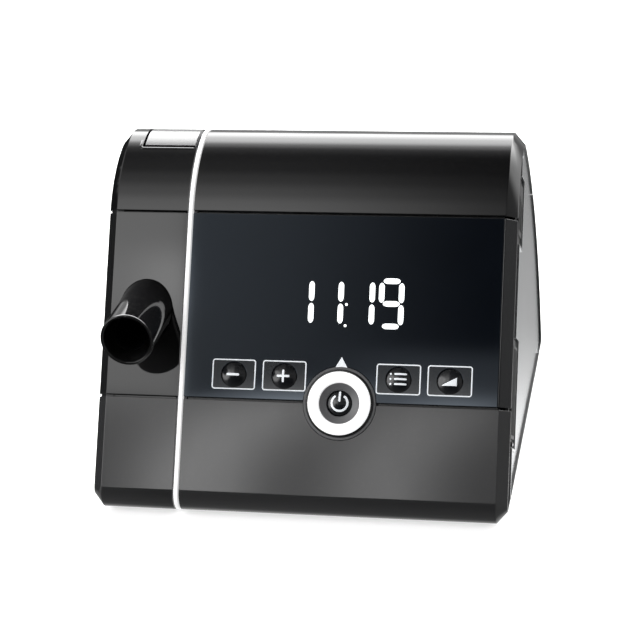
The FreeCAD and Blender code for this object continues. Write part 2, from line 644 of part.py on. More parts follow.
def card_opening(x0, x1, room):
    y, z = CARD_SPOT
    width, height = CARD_SIZE[1], CARD_SIZE[2]
    return box(x0, x1, y - width / 2 - room, y + width / 2 + room,
               z - height / 2 - room, z + height / 2 + room)


def side_cover_left():
    plate = side_outline(POCKET_INSET + SEAT_CLEAR, SIDE_FRONT + SEAT_CLEAR, -HALF, -SIDE_INNER)
    y, z = CARD_SPOT
    ball_radius = dome_radius(CARD_SCOOP_RADIUS, CARD_SCOOP_DEPTH)
    scoop = Part.makeSphere(ball_radius, Vector(-HALF - ball_radius + CARD_SCOOP_DEPTH, y, z))
    return plate.fuse(clips(-1)).cut(card_opening(-FAR, 0, SLIDE_CLEAR)).cut(scoop)


def side_grips():
    """Dark grips that fill the right side cover's notches, with raised pads and a peg."""
    room = POCKET_INSET + SEAT_CLEAR
    rear = SIDE_FRONT + NOTCH_DEPTH
    grips = []
    for low, high in NOTCHES:
        base = side_outline(room, room, SIDE_INNER, HALF - GRIP_SINK)
        grip = base.common(panel_box(-FAR, FAR, low + SLIDE_CLEAR, high - SLIDE_CLEAR,
                                     SLIDE_CLEAR - rear, FAR))
        pad = panel_box(HALF - GRIP_SINK, HALF - GRIP_PAD_SINK, low + GRIP_PAD_END,
                        high - GRIP_PAD_END, GRIP_PAD_REAR - rear, -GRIP_PAD_FRONT)
        grips.append(grip.fuse(pad))
    y, z = panel_point(NOTCHES[0][0] + PEG_STEP, -PEG_DEPTH)
    peg = rod_x(HALF - GRIP_SINK, HALF - GRIP_PAD_SINK, y, z, PEG_RADIUS)
    return Part.makeCompound([grips[0].fuse(peg), grips[1]])


# ---------------------------------------------------------------- chassis
def bulkhead(x0, x1, inset):
    plate = prism(inset, x0, x1)
    seam_low = LOW_SEAM - LIP_REACH - LIP_CLEAR
    seam_high = HIGH_SEAM + LIP_REACH + LIP_CLEAR
    return plate.cut(panel_box(-FAR, FAR, seam_low, seam_high, -FRAME_BACK, FAR))


def end_frame(side):
    ends = sorted((side * RIM_X, side * BULKHEAD_IN))
    plate = bulkhead(ends[0], ends[1], COVER_WALL + SEAT_CLEAR)
    for y, z in CLIP_SPOTS:
        plate = plate.cut(rod_x(ends[0], ends[1], y, z, CLIP_RADIUS + SLIDE_CLEAR))
    return plate


def left_end_frame():
    """Left end frame, with room for the tube's collar, the memory card and the lid's hinge."""
    collar_y = TUBE_REAR_Y + SEAT_CLEAR
    plate = end_frame(-1)
    plate = plate.cut(rod_y(TUBE_X, -FAR, collar_y, TUBE_Z, TUBE_COLLAR_RADIUS + SEAT_CLEAR))
    plate = plate.cut(card_opening(-RIM_X, -BULKHEAD_IN, SLIDE_CLEAR))
    return plate.cut(hinge_room())


def hinge_room():
    """Space round the lid's hinge and the lugs that carry it."""
    low = -HINGE_RADIUS - SLIDE_CLEAR
    return on_hinge(box(-FAR, COLUMN_RIGHT, low, LUG_FOOT + SLIDE_CLEAR, low, FAR))


def divider():
    """Wall between the column and the main bay, with the duct's hole and the air inlet's window."""
    plate = prism(STRIP_WALL, DIVIDER_LEFT, DIVIDER_RIGHT)
    plate = plate.cut(rod_x(DIVIDER_LEFT, DIVIDER_RIGHT, SPIGOT_Y, SPIGOT_Z, DUCT_RADIUS + SEAT_CLEAR))
    low_z = EYE_TOP + SILENCER_WALL
    high_z = SILENCER_TOP - SILENCER_WALL
    plate = plate.cut(box(DIVIDER_LEFT, DIVIDER_RIGHT, SILENCER_PORT[0], SILENCER_PORT[1], low_z, high_z))
    plate = plate.cut(card_opening(DIVIDER_LEFT, DIVIDER_RIGHT, SLIDE_CLEAR + READER_WALL + SEAT_CLEAR))
    return plate.cut(chassis_floor()).cut(hinge_room())


def corner_spots(board):
    x0, x1, y0, y1 = board
    inset = BOARD_SCREW_INSET
    return [(x, y) for x in (x0 + inset, x1 - inset) for y in (y0 + inset, y1 - inset)]


def chassis_floor():
    floor = box(-BULKHEAD_IN, BULKHEAD_IN, -FAR, FAR, CHASSIS_Z, FLOOR_Z)
    floor = floor.common(prism(COVER_WALL, -FAR, FAR)).common(behind_panel(LOW_COVER_DEPTH))
    return floor.cut(trim_strip())


def chassis():
    """Floor plate that the end frames and the divider stand against, with its standoffs."""
    body = chassis_floor()
    for x, y in corner_spots(MAIN_BOARD) + corner_spots(POWER_BOARD):
        body = body.fuse(disc(x, y, CHASSIS_Z, BOARD_Z, STANDOFF_RADIUS))
        body = body.cut(disc(x, y, CHASSIS_Z, BOARD_Z, SCREW_RADIUS))
    for x, y in CASE_SCREW_SPOTS:
        body = body.fuse(disc(x, y, CHASSIS_Z, BASE + SCREW_HEAD_HEIGHT + SCREW_LENGTH, STANDOFF_RADIUS))
        body = body.cut(disc(x, y, CHASSIS_Z, BASE + SCREW_HEAD_HEIGHT + SCREW_LENGTH, SCREW_RADIUS))
    return body


def rubber_feet():
    return Part.makeCompound([disc(x, y, 0, BASE, FOOT_RADIUS) for x, y in FOOT_SPOTS])


def screw(x, y, seat_z, up):
    """Pan-head screw: the head lies against seat_z, and the shank runs up or down from it."""
    head_z = seat_z - SCREW_HEAD_HEIGHT if up else seat_z
    shank_z = seat_z if up else seat_z - SCREW_LENGTH
    head = disc(x, y, head_z, head_z + SCREW_HEAD_HEIGHT, SCREW_HEAD_RADIUS)
    return head.fuse(disc(x, y, shank_z, shank_z + SCREW_LENGTH, SCREW_RADIUS))


def screws():
    """Screws that hold the base plate from below and the two boards from above."""
    seat = BASE + SCREW_HEAD_HEIGHT
    board_spots = corner_spots(MAIN_BOARD) + corner_spots(POWER_BOARD)
    found = [screw(x, y, seat, True) for x, y in CASE_SCREW_SPOTS]
    found += [screw(x, y, BOARD_Z + BOARD_WALL, False) for x, y in board_spots]
    return Part.makeCompound(found)


# ---------------------------------------------------------------- keys
def dome_radius(radius, height):
    return (radius ** 2 + height ** 2) / (2 * height)


def key(x, s):
    """Domed key with the flange that holds it behind the frame."""
    ball_radius = dome_radius(KEY_RADIUS, KEY_DOME)
    stem = disc(x, s, -FRAME_BACK - KEY_FLANGE, KEY_DOME, KEY_RADIUS)
    ball = Part.makeSphere(ball_radius, Vector(x, s, KEY_DOME - ball_radius))
    deep = disc(x, s, -FRAME_BACK - KEY_FLANGE, 0, KEY_RADIUS)
    flange = disc(x, s, -FRAME_BACK - KEY_FLANGE, -FRAME_BACK - SEAT_CLEAR, KEY_FLANGE_RADIUS)
    return on_panel(stem.common(ball).fuse(deep).fuse(flange).removeSplitter())


def power_dish():
    """Dark cup round the power key: a flat ledge for the ring and a hollowed middle."""
    x, s = POWER_CENTRE
    cup = disc(x, s, -WINDOW_WALL, RING_SEAT, POWER_HOLE_RADIUS - SEAT_CLEAR)
    cup = cup.fuse(disc(x, s, -WINDOW_WALL, RING_HEIGHT, RING_BORE - SEAT_CLEAR))
    hollow_radius = dome_radius(RING_BORE, DISH_DEPTH)
    hollow = Part.makeSphere(hollow_radius, Vector(x, s, RING_HEIGHT - DISH_DEPTH + hollow_radius))
    cup = cup.cut(hollow).cut(disc(x, s, -WINDOW_WALL, RING_HEIGHT, KEY_RADIUS + SLIDE_CLEAR))
    return on_panel(cup)


def power_ring():
    x, s = POWER_CENTRE
    ring = disc(x, s, RING_SEAT, RING_HEIGHT + RING_SEAT, RING_RADIUS)
    return on_panel(ring.cut(disc(x, s, RING_SEAT, RING_HEIGHT + RING_SEAT, RING_BORE)))


def keypad_mat():
    """Rubber mat on the display board, with one dome under each key."""
    top = -BOARD_DROP + MAT_WALL
    reach = KEY_FLANGE_RADIUS + MAT_WALL
    spots = list(KEY_SPOTS.values())
    mat = box(min(spots) - reach, max(spots) + reach, BOARD_LOW + MAT_WALL, KEY_ROW + reach,
              -BOARD_DROP, top)
    for x, s in key_centres():
        mat = mat.fuse(disc(x, s, top, -FRAME_BACK - KEY_FLANGE, MAT_DOME_RADIUS))
    return on_panel(mat)


# ---------------------------------------------------------------- display electronics
def display_board():
    x1 = BULKHEAD_IN - SLIDE_CLEAR
    x0 = DIVIDER_RIGHT + SLIDE_CLEAR
    return panel_box(x0, x1, BOARD_LOW, BOARD_HIGH, -BOARD_DROP - BOARD_WALL, -BOARD_DROP)


def display_module():
    x, s = DISPLAY_CENTRE
    width = DISPLAY_SIZE[0] - 2 * SLIDE_CLEAR
    height = DISPLAY_SIZE[1] - 2 * SLIDE_CLEAR
    return panel_box(x - width / 2, x + width / 2, s - height / 2, s + height / 2,
                     -BOARD_DROP, -WINDOW_WALL - SLIDE_CLEAR)


def display_ribbon():
    """Flat cable from the foot of the display board down to the main board."""
    wall = RIBBON_WALL
    top_y, top_z = panel_point(BOARD_LOW + LIP_REACH, -BOARD_DROP - BOARD_WALL - wall)
    foot_y = MAIN_BOARD[2] + 2 * BOARD_SCREW_INSET
    foot_z = BOARD_Z + BOARD_WALL
    points = [(foot_y, foot_z), (foot_y + wall, foot_z), (top_y + wall, top_z), (top_y, top_z)]
    left, right = (DIVIDER_RIGHT + step for step in RIBBON_STEPS)
    outline = Part.makePolygon([Vector(left, y, z) for y, z in points + points[:1]])
    return Part.Face(outline).extrude(Vector(right - left, 0, 0))


# ---------------------------------------------------------------- outlet and duct
def outlet_tube():
    """Straight tube with a step where its free length ends and a collar behind the panel."""
    step_y = TUBE_FRONT_Y + TUBE_REACH
    tube = rod_y(TUBE_X, TUBE_FRONT_Y, TUBE_REAR_Y, TUBE_Z, TUBE_RADIUS)
    tube = tube.fuse(rod_y(TUBE_X, step_y, TUBE_REAR_Y, TUBE_Z, TUBE_RADIUS + TUBE_STEP))
    tube = tube.fuse(rod_y(TUBE_X, TUBE_REAR_Y - TUBE_COLLAR, TUBE_REAR_Y, TUBE_Z, TUBE_COLLAR_RADIUS))
    tube = tube.cut(rod_y(TUBE_X, TUBE_FRONT_Y, TUBE_REAR_Y, TUBE_Z, TUBE_BORE))
    tube = tube.cut(rod_y(TUBE_X, TUBE_REAR_Y - DUCT_LAP, TUBE_REAR_Y, TUBE_Z, DUCT_RADIUS + SEAT_CLEAR))
    tip = [edge for edge in tube.Edges if edge.BoundBox.YMax < TUBE_FRONT_Y + SEAT_CLEAR]
    return tube.makeChamfer(TUBE_CHAMFER, tip)


def outlet_seal():
    """Rubber gland between the slanted outlet panel and the tube's collar."""
    rear_y = TUBE_REAR_Y - TUBE_COLLAR
    gland = rod_y(TUBE_X, TUBE_FRONT_Y, rear_y, TUBE_Z, TUBE_COLLAR_RADIUS)
    bore = rod_y(TUBE_X, TUBE_FRONT_Y, rear_y, TUBE_Z, TUBE_RADIUS + TUBE_STEP + SEAT_CLEAR)
    return gland.cut(bore).common(behind_panel(FRAME_BACK))


def duct_path():
    """From inside the tube straight back, down behind the column, then right to the blower."""
    bend = DUCT_BEND
    corner = bend * (1 - math.sqrt(0.5))
    start = Vector(TUBE_X, TUBE_REAR_Y - DUCT_LAP, TUBE_Z)
    a = Vector(TUBE_X, SPIGOT_Y - bend, TUBE_Z)
    a_mid = Vector(TUBE_X, SPIGOT_Y - corner, TUBE_Z - corner)
    b = Vector(TUBE_X, SPIGOT_Y, TUBE_Z - bend)
    c = Vector(TUBE_X, SPIGOT_Y, SPIGOT_Z + bend)
    c_mid = Vector(TUBE_X + corner, SPIGOT_Y, SPIGOT_Z + corner)
    d = Vector(TUBE_X + bend, SPIGOT_Y, SPIGOT_Z)
    end = Vector(SPIGOT_END_X + DUCT_LAP, SPIGOT_Y, SPIGOT_Z)
    edges = [Part.LineSegment(start, a), Part.Arc(a, a_mid, b), Part.LineSegment(b, c),
             Part.Arc(c, c_mid, d), Part.LineSegment(d, end)]
    return Part.Wire([edge.toShape() for edge in edges])


def swept(path, radius):
    start = path.OrderedVertexes[0].Point
    circle = Part.Wire(Part.Circle(start, Vector(0, 1, 0), radius).toShape())
    return path.makePipeShell([circle], True, True)


def air_duct():
    path = duct_path()
    return swept(path, DUCT_RADIUS).cut(swept(path, DUCT_BORE))


def flow_sensor():
    """Sensor block that sits on top of the duct's straight run."""
    width, depth, height = SENSOR_SIZE
    centre_y = (TUBE_REAR_Y + SPIGOT_Y - DUCT_BEND) / 2
    seat = TUBE_Z + DUCT_RADIUS - DUCT_WALL / 2
    body = block(TUBE_X, centre_y, seat, width, depth, height)
    return body.cut(rod_y(TUBE_X, TUBE_REAR_Y, SPIGOT_Y, TUBE_Z, DUCT_RADIUS + SEAT_CLEAR))


# ---------------------------------------------------------------- filter bay
def on_hinge(shape):
    """Moves a shape drawn as (x, distance down the back, height over the hinge) to the hinge."""
    turn = Rotation(Vector(1, 0, 0), LID_HINGE_ANGLE - 90)
    shape.Placement = Placement(Vector(0, HINGE_Y, HINGE_Z), turn)
    return shape


def hinge_rod(x0, x1, radius):
    return on_hinge(rod_x(x0, x1, 0, 0, radius))


def before_hinge(x0, x1, front_y):
    """Everything over the crown between a front plane and the hinge."""
    ahead = on_hinge(box(x0, x1, -FAR, 0, -FAR, FAR))
    return ahead.common(box(x0, x1, front_y, FAR, REAR_SEAM_Z, FAR))


def lug_spans():
    left = (LID_LEFT - LID_GAP - HINGE_LUG, LID_LEFT - SLIDE_CLEAR)
    right = (LID_RIGHT - HINGE_LUG, LID_RIGHT)
    return left, right


def barrel_span():
    return LID_LEFT, LID_RIGHT - HINGE_LUG - SLIDE_CLEAR


def column_top_cover(skin):
    cover = skin.common(top_region()).common(column_side())
    cover = cover.cut(before_hinge(LID_LEFT - LID_GAP, COLUMN_RIGHT, LID_FRONT_Y - LID_GAP))
    cover = cover.cut(hinge_rod(LID_LEFT - LID_GAP, COLUMN_RIGHT, HINGE_RADIUS + SLIDE_CLEAR * 2))
    for x0, x1 in lug_spans():
        lug = hinge_rod(x0, x1, HINGE_RADIUS)
        foot_top = HINGE_RADIUS - COVER_WALL + SEAT_CLEAR
        foot = on_hinge(box(x0, x1, 0, LUG_FOOT, -HINGE_RADIUS, foot_top))
        cover = cover.fuse(lug).fuse(foot)
    pin_left, pin_right = lug_spans()[0][0], lug_spans()[1][1]
    return cover.cut(hinge_rod(pin_left, pin_right, HINGE_PIN_RADIUS)).removeSplitter()


def filter_lid(skin):
    lid = skin.common(before_hinge(LID_LEFT, LID_RIGHT, LID_FRONT_Y))
    right_lug = lug_spans()[1]
    lid = lid.cut(hinge_rod(right_lug[0] - SLIDE_CLEAR, LID_RIGHT, HINGE_RADIUS + SLIDE_CLEAR))
    barrel = barrel_span()
    lid = lid.fuse(hinge_rod(barrel[0], barrel[1], HINGE_RADIUS))
    for slot in range(LID_SLOTS):
        centre = -HINGE_RADIUS - LID_SLOT_PITCH * (slot + 1)
        cutter = on_hinge(box(LID_LEFT + HINGE_LUG, LID_RIGHT - HINGE_LUG, centre - LID_SLOT_WIDTH / 2,
                              centre + LID_SLOT_WIDTH / 2, -FAR, FAR))
        lid = lid.cut(cutter)
    return lid.cut(hinge_rod(LID_LEFT, LID_RIGHT, HINGE_PIN_RADIUS + PIN_CLEAR)).removeSplitter()


def lid_hinge_pin():
    spans = lug_spans()
    return hinge_rod(spans[0][0], spans[1][1], HINGE_PIN_RADIUS)


def filter_tray():
    """Open-topped tray between the left bulkhead and the divider, with a ledge for the filters."""
    outer = box(-BULKHEAD_IN, DIVIDER_LEFT, TRAY_FRONT_Y, TRAY_REAR_Y, TRAY_BOTTOM_Z, FAR)
    inner = box(-BULKHEAD_IN + TRAY_WALL, DIVIDER_LEFT - TRAY_WALL, TRAY_FRONT_Y + TRAY_WALL,
                TRAY_REAR_Y - TRAY_WALL, TRAY_BOTTOM_Z + TRAY_WALL, FAR)
    grille = box(-BULKHEAD_IN + TRAY_LEDGE, DIVIDER_LEFT - TRAY_LEDGE, TRAY_FRONT_Y + TRAY_LEDGE,
                 TRAY_REAR_Y - TRAY_LEDGE, TRAY_BOTTOM_Z, FAR)
    return outer.common(prism(COVER_WALL + SLIDE_CLEAR, -FAR, FAR)).cut(inner).cut(grille)


def filter_pad(floor_z, height):
    reach = TRAY_WALL + SEAT_CLEAR
    return box(-BULKHEAD_IN + reach, DIVIDER_LEFT - reach, TRAY_FRONT_Y + reach,
               TRAY_REAR_Y - reach, floor_z, floor_z + height)


# ---------------------------------------------------------------- blower
def blower_disc(z0, z1, radius):
    return disc(BLOWER_X, BLOWER_Y, z0, z1, radius)


def mount_spots():
    angles = [math.radians(90 + 360 * index / BLOWER_MOUNTS) for index in range(BLOWER_MOUNTS)]
    return [(BLOWER_X + MOUNT_CIRCLE * math.cos(a), BLOWER_Y + MOUNT_CIRCLE * math.sin(a)) for a in angles]


def blower_mounts():
    return Part.makeCompound([disc(x, y, FLOOR_Z, BLOWER_Z, MOUNT_RADIUS) for x, y in mount_spots()])


def blower_lower_housing():
    """Spool that carries the motor: foot plate, motor cup and the fan chamber's floor, with ribs."""
    pocket_z = BLOWER_Z + BLOWER_WALL
    foot_radius = MOUNT_CIRCLE + MOUNT_RADIUS
    body = blower_disc(BLOWER_Z, pocket_z, foot_radius)
    body = body.fuse(blower_disc(BLOWER_Z, CHAMBER_Z, MOTOR_RADIUS + BLOWER_WALL))
    body = body.fuse(blower_disc(CHAMBER_Z - BLOWER_WALL, CHAMBER_Z, BLOWER_RADIUS))
    for index in range(BLOWER_RIBS):
        rib = box(MOTOR_RADIUS, foot_radius, -BLADE_WALL / 2, BLADE_WALL / 2, BLOWER_Z, CHAMBER_Z)
        rib.rotate(Vector(0, 0, 0), Vector(0, 0, 1), 360 * index / BLOWER_RIBS)
        rib.translate(Vector(BLOWER_X, BLOWER_Y, 0))
        body = body.fuse(rib)
    return body.cut(blower_disc(pocket_z, CHAMBER_Z, MOTOR_RADIUS + SEAT_CLEAR)).removeSplitter()


def spigot(x0, radius):
    return rod_x(x0, BLOWER_X, SPIGOT_Y, SPIGOT_Z, radius)


def blower_upper_housing():
    """Fan chamber with the inlet eye on top and the outlet spigot off to the left."""
    body = blower_disc(CHAMBER_Z, CHAMBER_TOP + BLOWER_WALL, BLOWER_RADIUS)
    body = body.fuse(blower_disc(CHAMBER_TOP, EYE_TOP, EYE_RADIUS + BLOWER_WALL))
    arm = spigot(SPIGOT_END_X, SPIGOT_RADIUS).common(box(-FAR, FAR, -FAR, FAR, CHAMBER_Z, FAR))
    body = body.fuse(arm)
    chamber = blower_disc(CHAMBER_Z, CHAMBER_TOP, BLOWER_RADIUS - BLOWER_WALL)
    bore = spigot(SPIGOT_END_X, SPIGOT_RADIUS - SPIGOT_WALL)
    return body.cut(chamber).cut(bore).cut(blower_disc(CHAMBER_Z, EYE_TOP, EYE_RADIUS))


def impeller():
    """Disc, hub and swept-back blades."""
    disc_z = CHAMBER_Z + BLOWER_WALL / 2
    top_z = disc_z + IMPELLER_DISC
    wheel = blower_disc(disc_z, top_z, IMPELLER_RADIUS)
    wheel = wheel.fuse(blower_disc(disc_z, top_z + BLADE_HEIGHT, HUB_RADIUS))
    length = IMPELLER_RADIUS - HUB_RADIUS
    for index in range(BLADES):
        blade = box(HUB_RADIUS - BLADE_WALL, HUB_RADIUS + length, -BLADE_WALL / 2, BLADE_WALL / 2,
                    top_z - IMPELLER_DISC / 2, top_z + BLADE_HEIGHT)
        blade.rotate(Vector(HUB_RADIUS, 0, 0), Vector(0, 0, 1), -BLADE_SWEEP)
        blade.rotate(Vector(0, 0, 0), Vector(0, 0, 1), 360 * index / BLADES)
        blade.translate(Vector(BLOWER_X, BLOWER_Y, 0))
        wheel = wheel.fuse(blade)
    return wheel.cut(blower_disc(disc_z, top_z + BLADE_HEIGHT, SHAFT_RADIUS)).removeSplitter()


def bearing_floors():
    """Both bearings' lower faces: one at the foot of the motor's pocket, one at its mouth."""
    return BLOWER_Z + BLOWER_WALL, CHAMBER_Z - BEARING_WIDTH


def motor_shaft():
    start = bearing_floors()[0] + SLIDE_CLEAR
    end = CHAMBER_Z + BLOWER_WALL / 2 + IMPELLER_DISC + BLADE_HEIGHT
    return blower_disc(start, end, SHAFT_RADIUS)


def motor_bearings():
    rings = []
    for floor_z in bearing_floors():
        ring = blower_disc(floor_z, floor_z + BEARING_WIDTH, BEARING_RADIUS)
        rings.append(ring.cut(blower_disc(floor_z, floor_z + BEARING_WIDTH, SHAFT_RADIUS + PIN_CLEAR)))
    return Part.makeCompound(rings)


def motor_stator():
    low_z = bearing_floors()[0]
    stator = blower_disc(low_z, low_z + MOTOR_HEIGHT, MOTOR_RADIUS)
    stator = stator.cut(blower_disc(low_z, low_z + BEARING_WIDTH, BEARING_RADIUS + SEAT_CLEAR))
    return stator.cut(blower_disc(low_z, CHAMBER_Z, SHAFT_RADIUS + SLIDE_CLEAR))


def motor_end_cap():
    """Cap over the motor, level with the fan chamber's floor, that holds the upper bearing."""
    floor_z = BLOWER_Z + BLOWER_WALL + MOTOR_HEIGHT
    cap = blower_disc(floor_z, CHAMBER_Z, MOTOR_RADIUS)
    return cap.cut(blower_disc(floor_z, CHAMBER_Z, BEARING_RADIUS + SEAT_CLEAR))


# ---------------------------------------------------------------- silencer
def silencer_space(inset):
    return box(DIVIDER_RIGHT + inset, SILENCER_RIGHT - inset, SILENCER_FRONT_Y + inset,
               SILENCER_REAR_Y - inset, EYE_TOP + inset, SILENCER_TOP - inset)


def silencer_port():
    return box(DIVIDER_RIGHT, DIVIDER_RIGHT + SILENCER_WALL, SILENCER_PORT[0], SILENCER_PORT[1],
               EYE_TOP + SILENCER_WALL, SILENCER_TOP - SILENCER_WALL)


def silencer_box():
    body = silencer_space(0).cut(silencer_space(SILENCER_WALL)).cut(silencer_port())
    body = body.cut(blower_disc(EYE_TOP, EYE_TOP + SILENCER_WALL, EYE_RADIUS))
    return body.cut(silencer_top())


def silencer_top():
    return box(-FAR, FAR, -FAR, FAR, SILENCER_TOP - SILENCER_WALL, SILENCER_TOP)


def silencer_lid():
    return silencer_space(0).common(silencer_top())


def silencer_foam():
    """Foam block with a winding air way: in from the left, round, and down into the blower."""
    foam = silencer_space(SILENCER_WALL)
    low_z = EYE_TOP
    high_z = SILENCER_TOP - SILENCER_WALL - BLOWER_WALL
    way = box(DIVIDER_RIGHT, BLOWER_X + EYE_RADIUS, SILENCER_PORT[0] + BLOWER_WALL,
              SILENCER_PORT[1] - BLOWER_WALL, low_z + SILENCER_WALL + BLOWER_WALL, high_z)
    return foam.cut(way).cut(blower_disc(low_z, high_z, EYE_RADIUS))


# ---------------------------------------------------------------- boards and sockets
def board(outline):
    x0, x1, y0, y1 = outline
    plate = box(x0, x1, y0, y1, BOARD_Z, BOARD_Z + BOARD_WALL)
    for x, y in corner_spots(outline):
        plate = plate.cut(disc(x, y, BOARD_Z, BOARD_Z + BOARD_WALL, SCREW_RADIUS + SEAT_CLEAR))
    return plate


def main_board_chips():
    top = BOARD_Z + BOARD_WALL
    x0, x1, y0, y1 = MAIN_BOARD
    chips = []
    for across, along, width, depth, height in MAIN_CHIPS:
        x = x0 + across * (x1 - x0)
        y = y0 + along * (y1 - y0)
        chips.append(block(x, y, top, width, depth, height))
    return Part.makeCompound(chips)


def power_place(spot):
    return POWER_LEFT + spot[0], POWER_FRONT + spot[1]


def transformer():
    x, y = power_place(TRANSFORMER_SPOT)
    top = BOARD_Z + BOARD_WALL
    return block(x, y, top, *TRANSFORMER_CORE).fuse(block(x, y, top, *TRANSFORMER_COIL))


def heat_sink():
    x, y = power_place(HEAT_SINK_SPOT)
    width, depth, height = HEAT_SINK_SIZE
    top = BOARD_Z + BOARD_WALL
    sink = block(x, y, top, width, depth, HEAT_SINK_WEB)
    pitch = (width - HEAT_SINK_WEB) / (HEAT_SINK_FINS - 1)
    for index in range(HEAT_SINK_FINS):
        fin_x = x - width / 2 + HEAT_SINK_WEB / 2 + index * pitch
        sink = sink.fuse(block(fin_x, y, top, HEAT_SINK_WEB, depth, height))
    return sink


def capacitors():
    top = BOARD_Z + BOARD_WALL
    places = [power_place(spot) for spot in CAPACITORS]
    cans = [disc(x, y, top, top + CAPACITOR_HEIGHT, CAPACITOR_RADIUS) for x, y in places]
    return Part.makeCompound(cans)


def socket(spot, size, mouth, mouth_depth):
    """Socket body in a straight opening through the back, with a flange behind the cover."""
    x, z = spot
    width, height = size
    body = box(x - width / 2, x + width / 2, SOCKET_BACK_Y, FAR, z - height / 2, z + height / 2)
    body = body.common(prism(SOCKET_SINK, -FAR, FAR))
    face_y = back_y(z, SOCKET_SINK)
    wide = width + 2 * SOCKET_FLANGE
    tall = height + 2 * SOCKET_FLANGE
    flange_front = back_y(z + tall / 2, COVER_WALL + SEAT_CLEAR)
    body = body.fuse(box(x - wide / 2, x + wide / 2, flange_front - SOCKET_FLANGE, flange_front,
                         z - tall / 2, z + tall / 2))
    return body.cut(box(x - mouth[0] / 2, x + mouth[0] / 2, face_y - mouth_depth, FAR,
                        z - mouth[1] / 2, z + mouth[1] / 2))


def mains_inlet():
    return socket(INLET_SPOT, INLET_SIZE, INLET_MOUTH, INLET_MOUTH_DEPTH)


def mains_pins():
    x, z = INLET_SPOT
    face_y = back_y(z, SOCKET_SINK)
    pins = []
    for side in (-1, 1):
        pin_x = x + side * INLET_PIN_SPREAD / 2
        pins.append(rod_y(pin_x, face_y - INLET_MOUTH_DEPTH, face_y - SOCKET_SINK, z, INLET_PIN_RADIUS))
    return Part.makeCompound(pins)


def data_socket():
    return socket(DATA_SPOT, DATA_SIZE, DATA_MOUTH, INLET_MOUTH_DEPTH)


def card_reader():
    """Sleeve behind the left bulkhead that the memory card slides into."""
    y, z = CARD_SPOT
    room = SLIDE_CLEAR + READER_WALL
    inner_x = -HALF + CARD_SIZE[0] + SLIDE_CLEAR
    sleeve = card_opening(-BULKHEAD_IN, inner_x + READER_WALL, room)
    return sleeve.cut(card_opening(-BULKHEAD_IN, inner_x, SLIDE_CLEAR))


def memory_card():
    return card_opening(-HALF, -HALF + CARD_SIZE[0], 0)


# ---------------------------------------------------------------- assembly
def build_parts():
    skin = casing()
    tray_floor = TRAY_BOTTOM_Z + TRAY_WALL
    parts = {
        "base_plate": base_plate(skin),
        "chassis": chassis(),
        "end_frames": Part.makeCompound([left_end_frame(), end_frame(1)]),
        "divider": divider(),
        "lower_cover": lower_cover(skin),
        "column_lower_cover": column_lower_cover(skin),
        "top_cover": top_cover(skin),
        "column_top_cover": column_top_cover(skin),
        "rear_cover": rear_cover(skin),
        "column_rear_cover": column_rear_cover(skin),
        "trim_strip": trim_strip(),
        "display_frame": display_frame(skin),
        "display_window": display_window(),
        "outlet_panel": outlet_panel(skin),
        "side_cover_right": side_cover_right(),
        "side_cover_left": side_cover_left(),
        "side_grips": side_grips(),
        "rubber_feet": rubber_feet(),
        "screws": screws(),
        "power_dish": power_dish(),
        "power_ring": power_ring(),
        "power_key": key(*POWER_CENTRE),
        "keypad_mat": keypad_mat(),
        "display_board": display_board(),
        "display_module": display_module(),
        "display_ribbon": display_ribbon(),
        "outlet_tube": outlet_tube(),
        "outlet_seal": outlet_seal(),
        "air_duct": air_duct(),
        "flow_sensor": flow_sensor(),
        "filter_lid": filter_lid(skin),
        "lid_hinge_pin": lid_hinge_pin(),
        "filter_tray": filter_tray(),
        "fine_filter": filter_pad(tray_floor, FINE_FILTER),
        "coarse_filter": filter_pad(tray_floor + FINE_FILTER, COARSE_FILTER),
        "blower_mounts": blower_mounts(),
        "blower_lower_housing": blower_lower_housing(),
        "blower_upper_housing": blower_upper_housing(),
        "impeller": impeller(),
        "motor_shaft": motor_shaft(),
        "motor_bearings": motor_bearings(),
        "motor_stator": motor_stator(),
        "motor_end_cap": motor_end_cap(),
        "silencer_box": silencer_box(),
        "silencer_lid": silencer_lid(),
        "silencer_foam": silencer_foam(),
        "circuit_boards": Part.makeCompound([board(MAIN_BOARD), board(POWER_BOARD)]),
        "main_board_chips": main_board_chips(),
        "transformer": transformer(),
        "heat_sink": heat_sink(),
        "capacitors": capacitors(),
        "mains_inlet": mains_inlet(),
        "mains_pins": mains_pins(),
        "data_socket": data_socket(),
        "card_reader": card_reader(),
        "memory_card": memory_card(),
    }
    for name, x in KEY_SPOTS.items():
        parts[name] = key(x, KEY_ROW)
    return parts


os.makedirs("parts", exist_ok=True)
for name, shape in build_parts().items():
    if not shape.isValid():
        print("invalid:", name)
    print(name, "solids", len(shape.Solids), "volume", round(shape.Volume / 1000, 2), "cm3")
    shape.exportStep("parts/" + name + ".step")
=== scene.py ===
# %% [markdown]
# # A bedside CPAP machine
# The machine is a rounded wedge that lies on its flat side. A black case is cut by thin
# shadow seams into covers, a white strip parts a narrow outlet column from the main bay,
# and a smoked window shows the time over a row of small keys. This lesson dresses the CAD
# model of that machine: it loads the solids, gives each one its finish, and adds the fine
# pieces that a drawing office leaves out, such as printed signs and rounded edges.
#
# Everything is in metres, in the same frame as the solids: X to the right, Y to the back
# and Z up, with the feet on z = 0. Sizes in the cells are in millimetres, times MM.

import json
import math

import bmesh
import bpy
from mathutils import Matrix, Vector

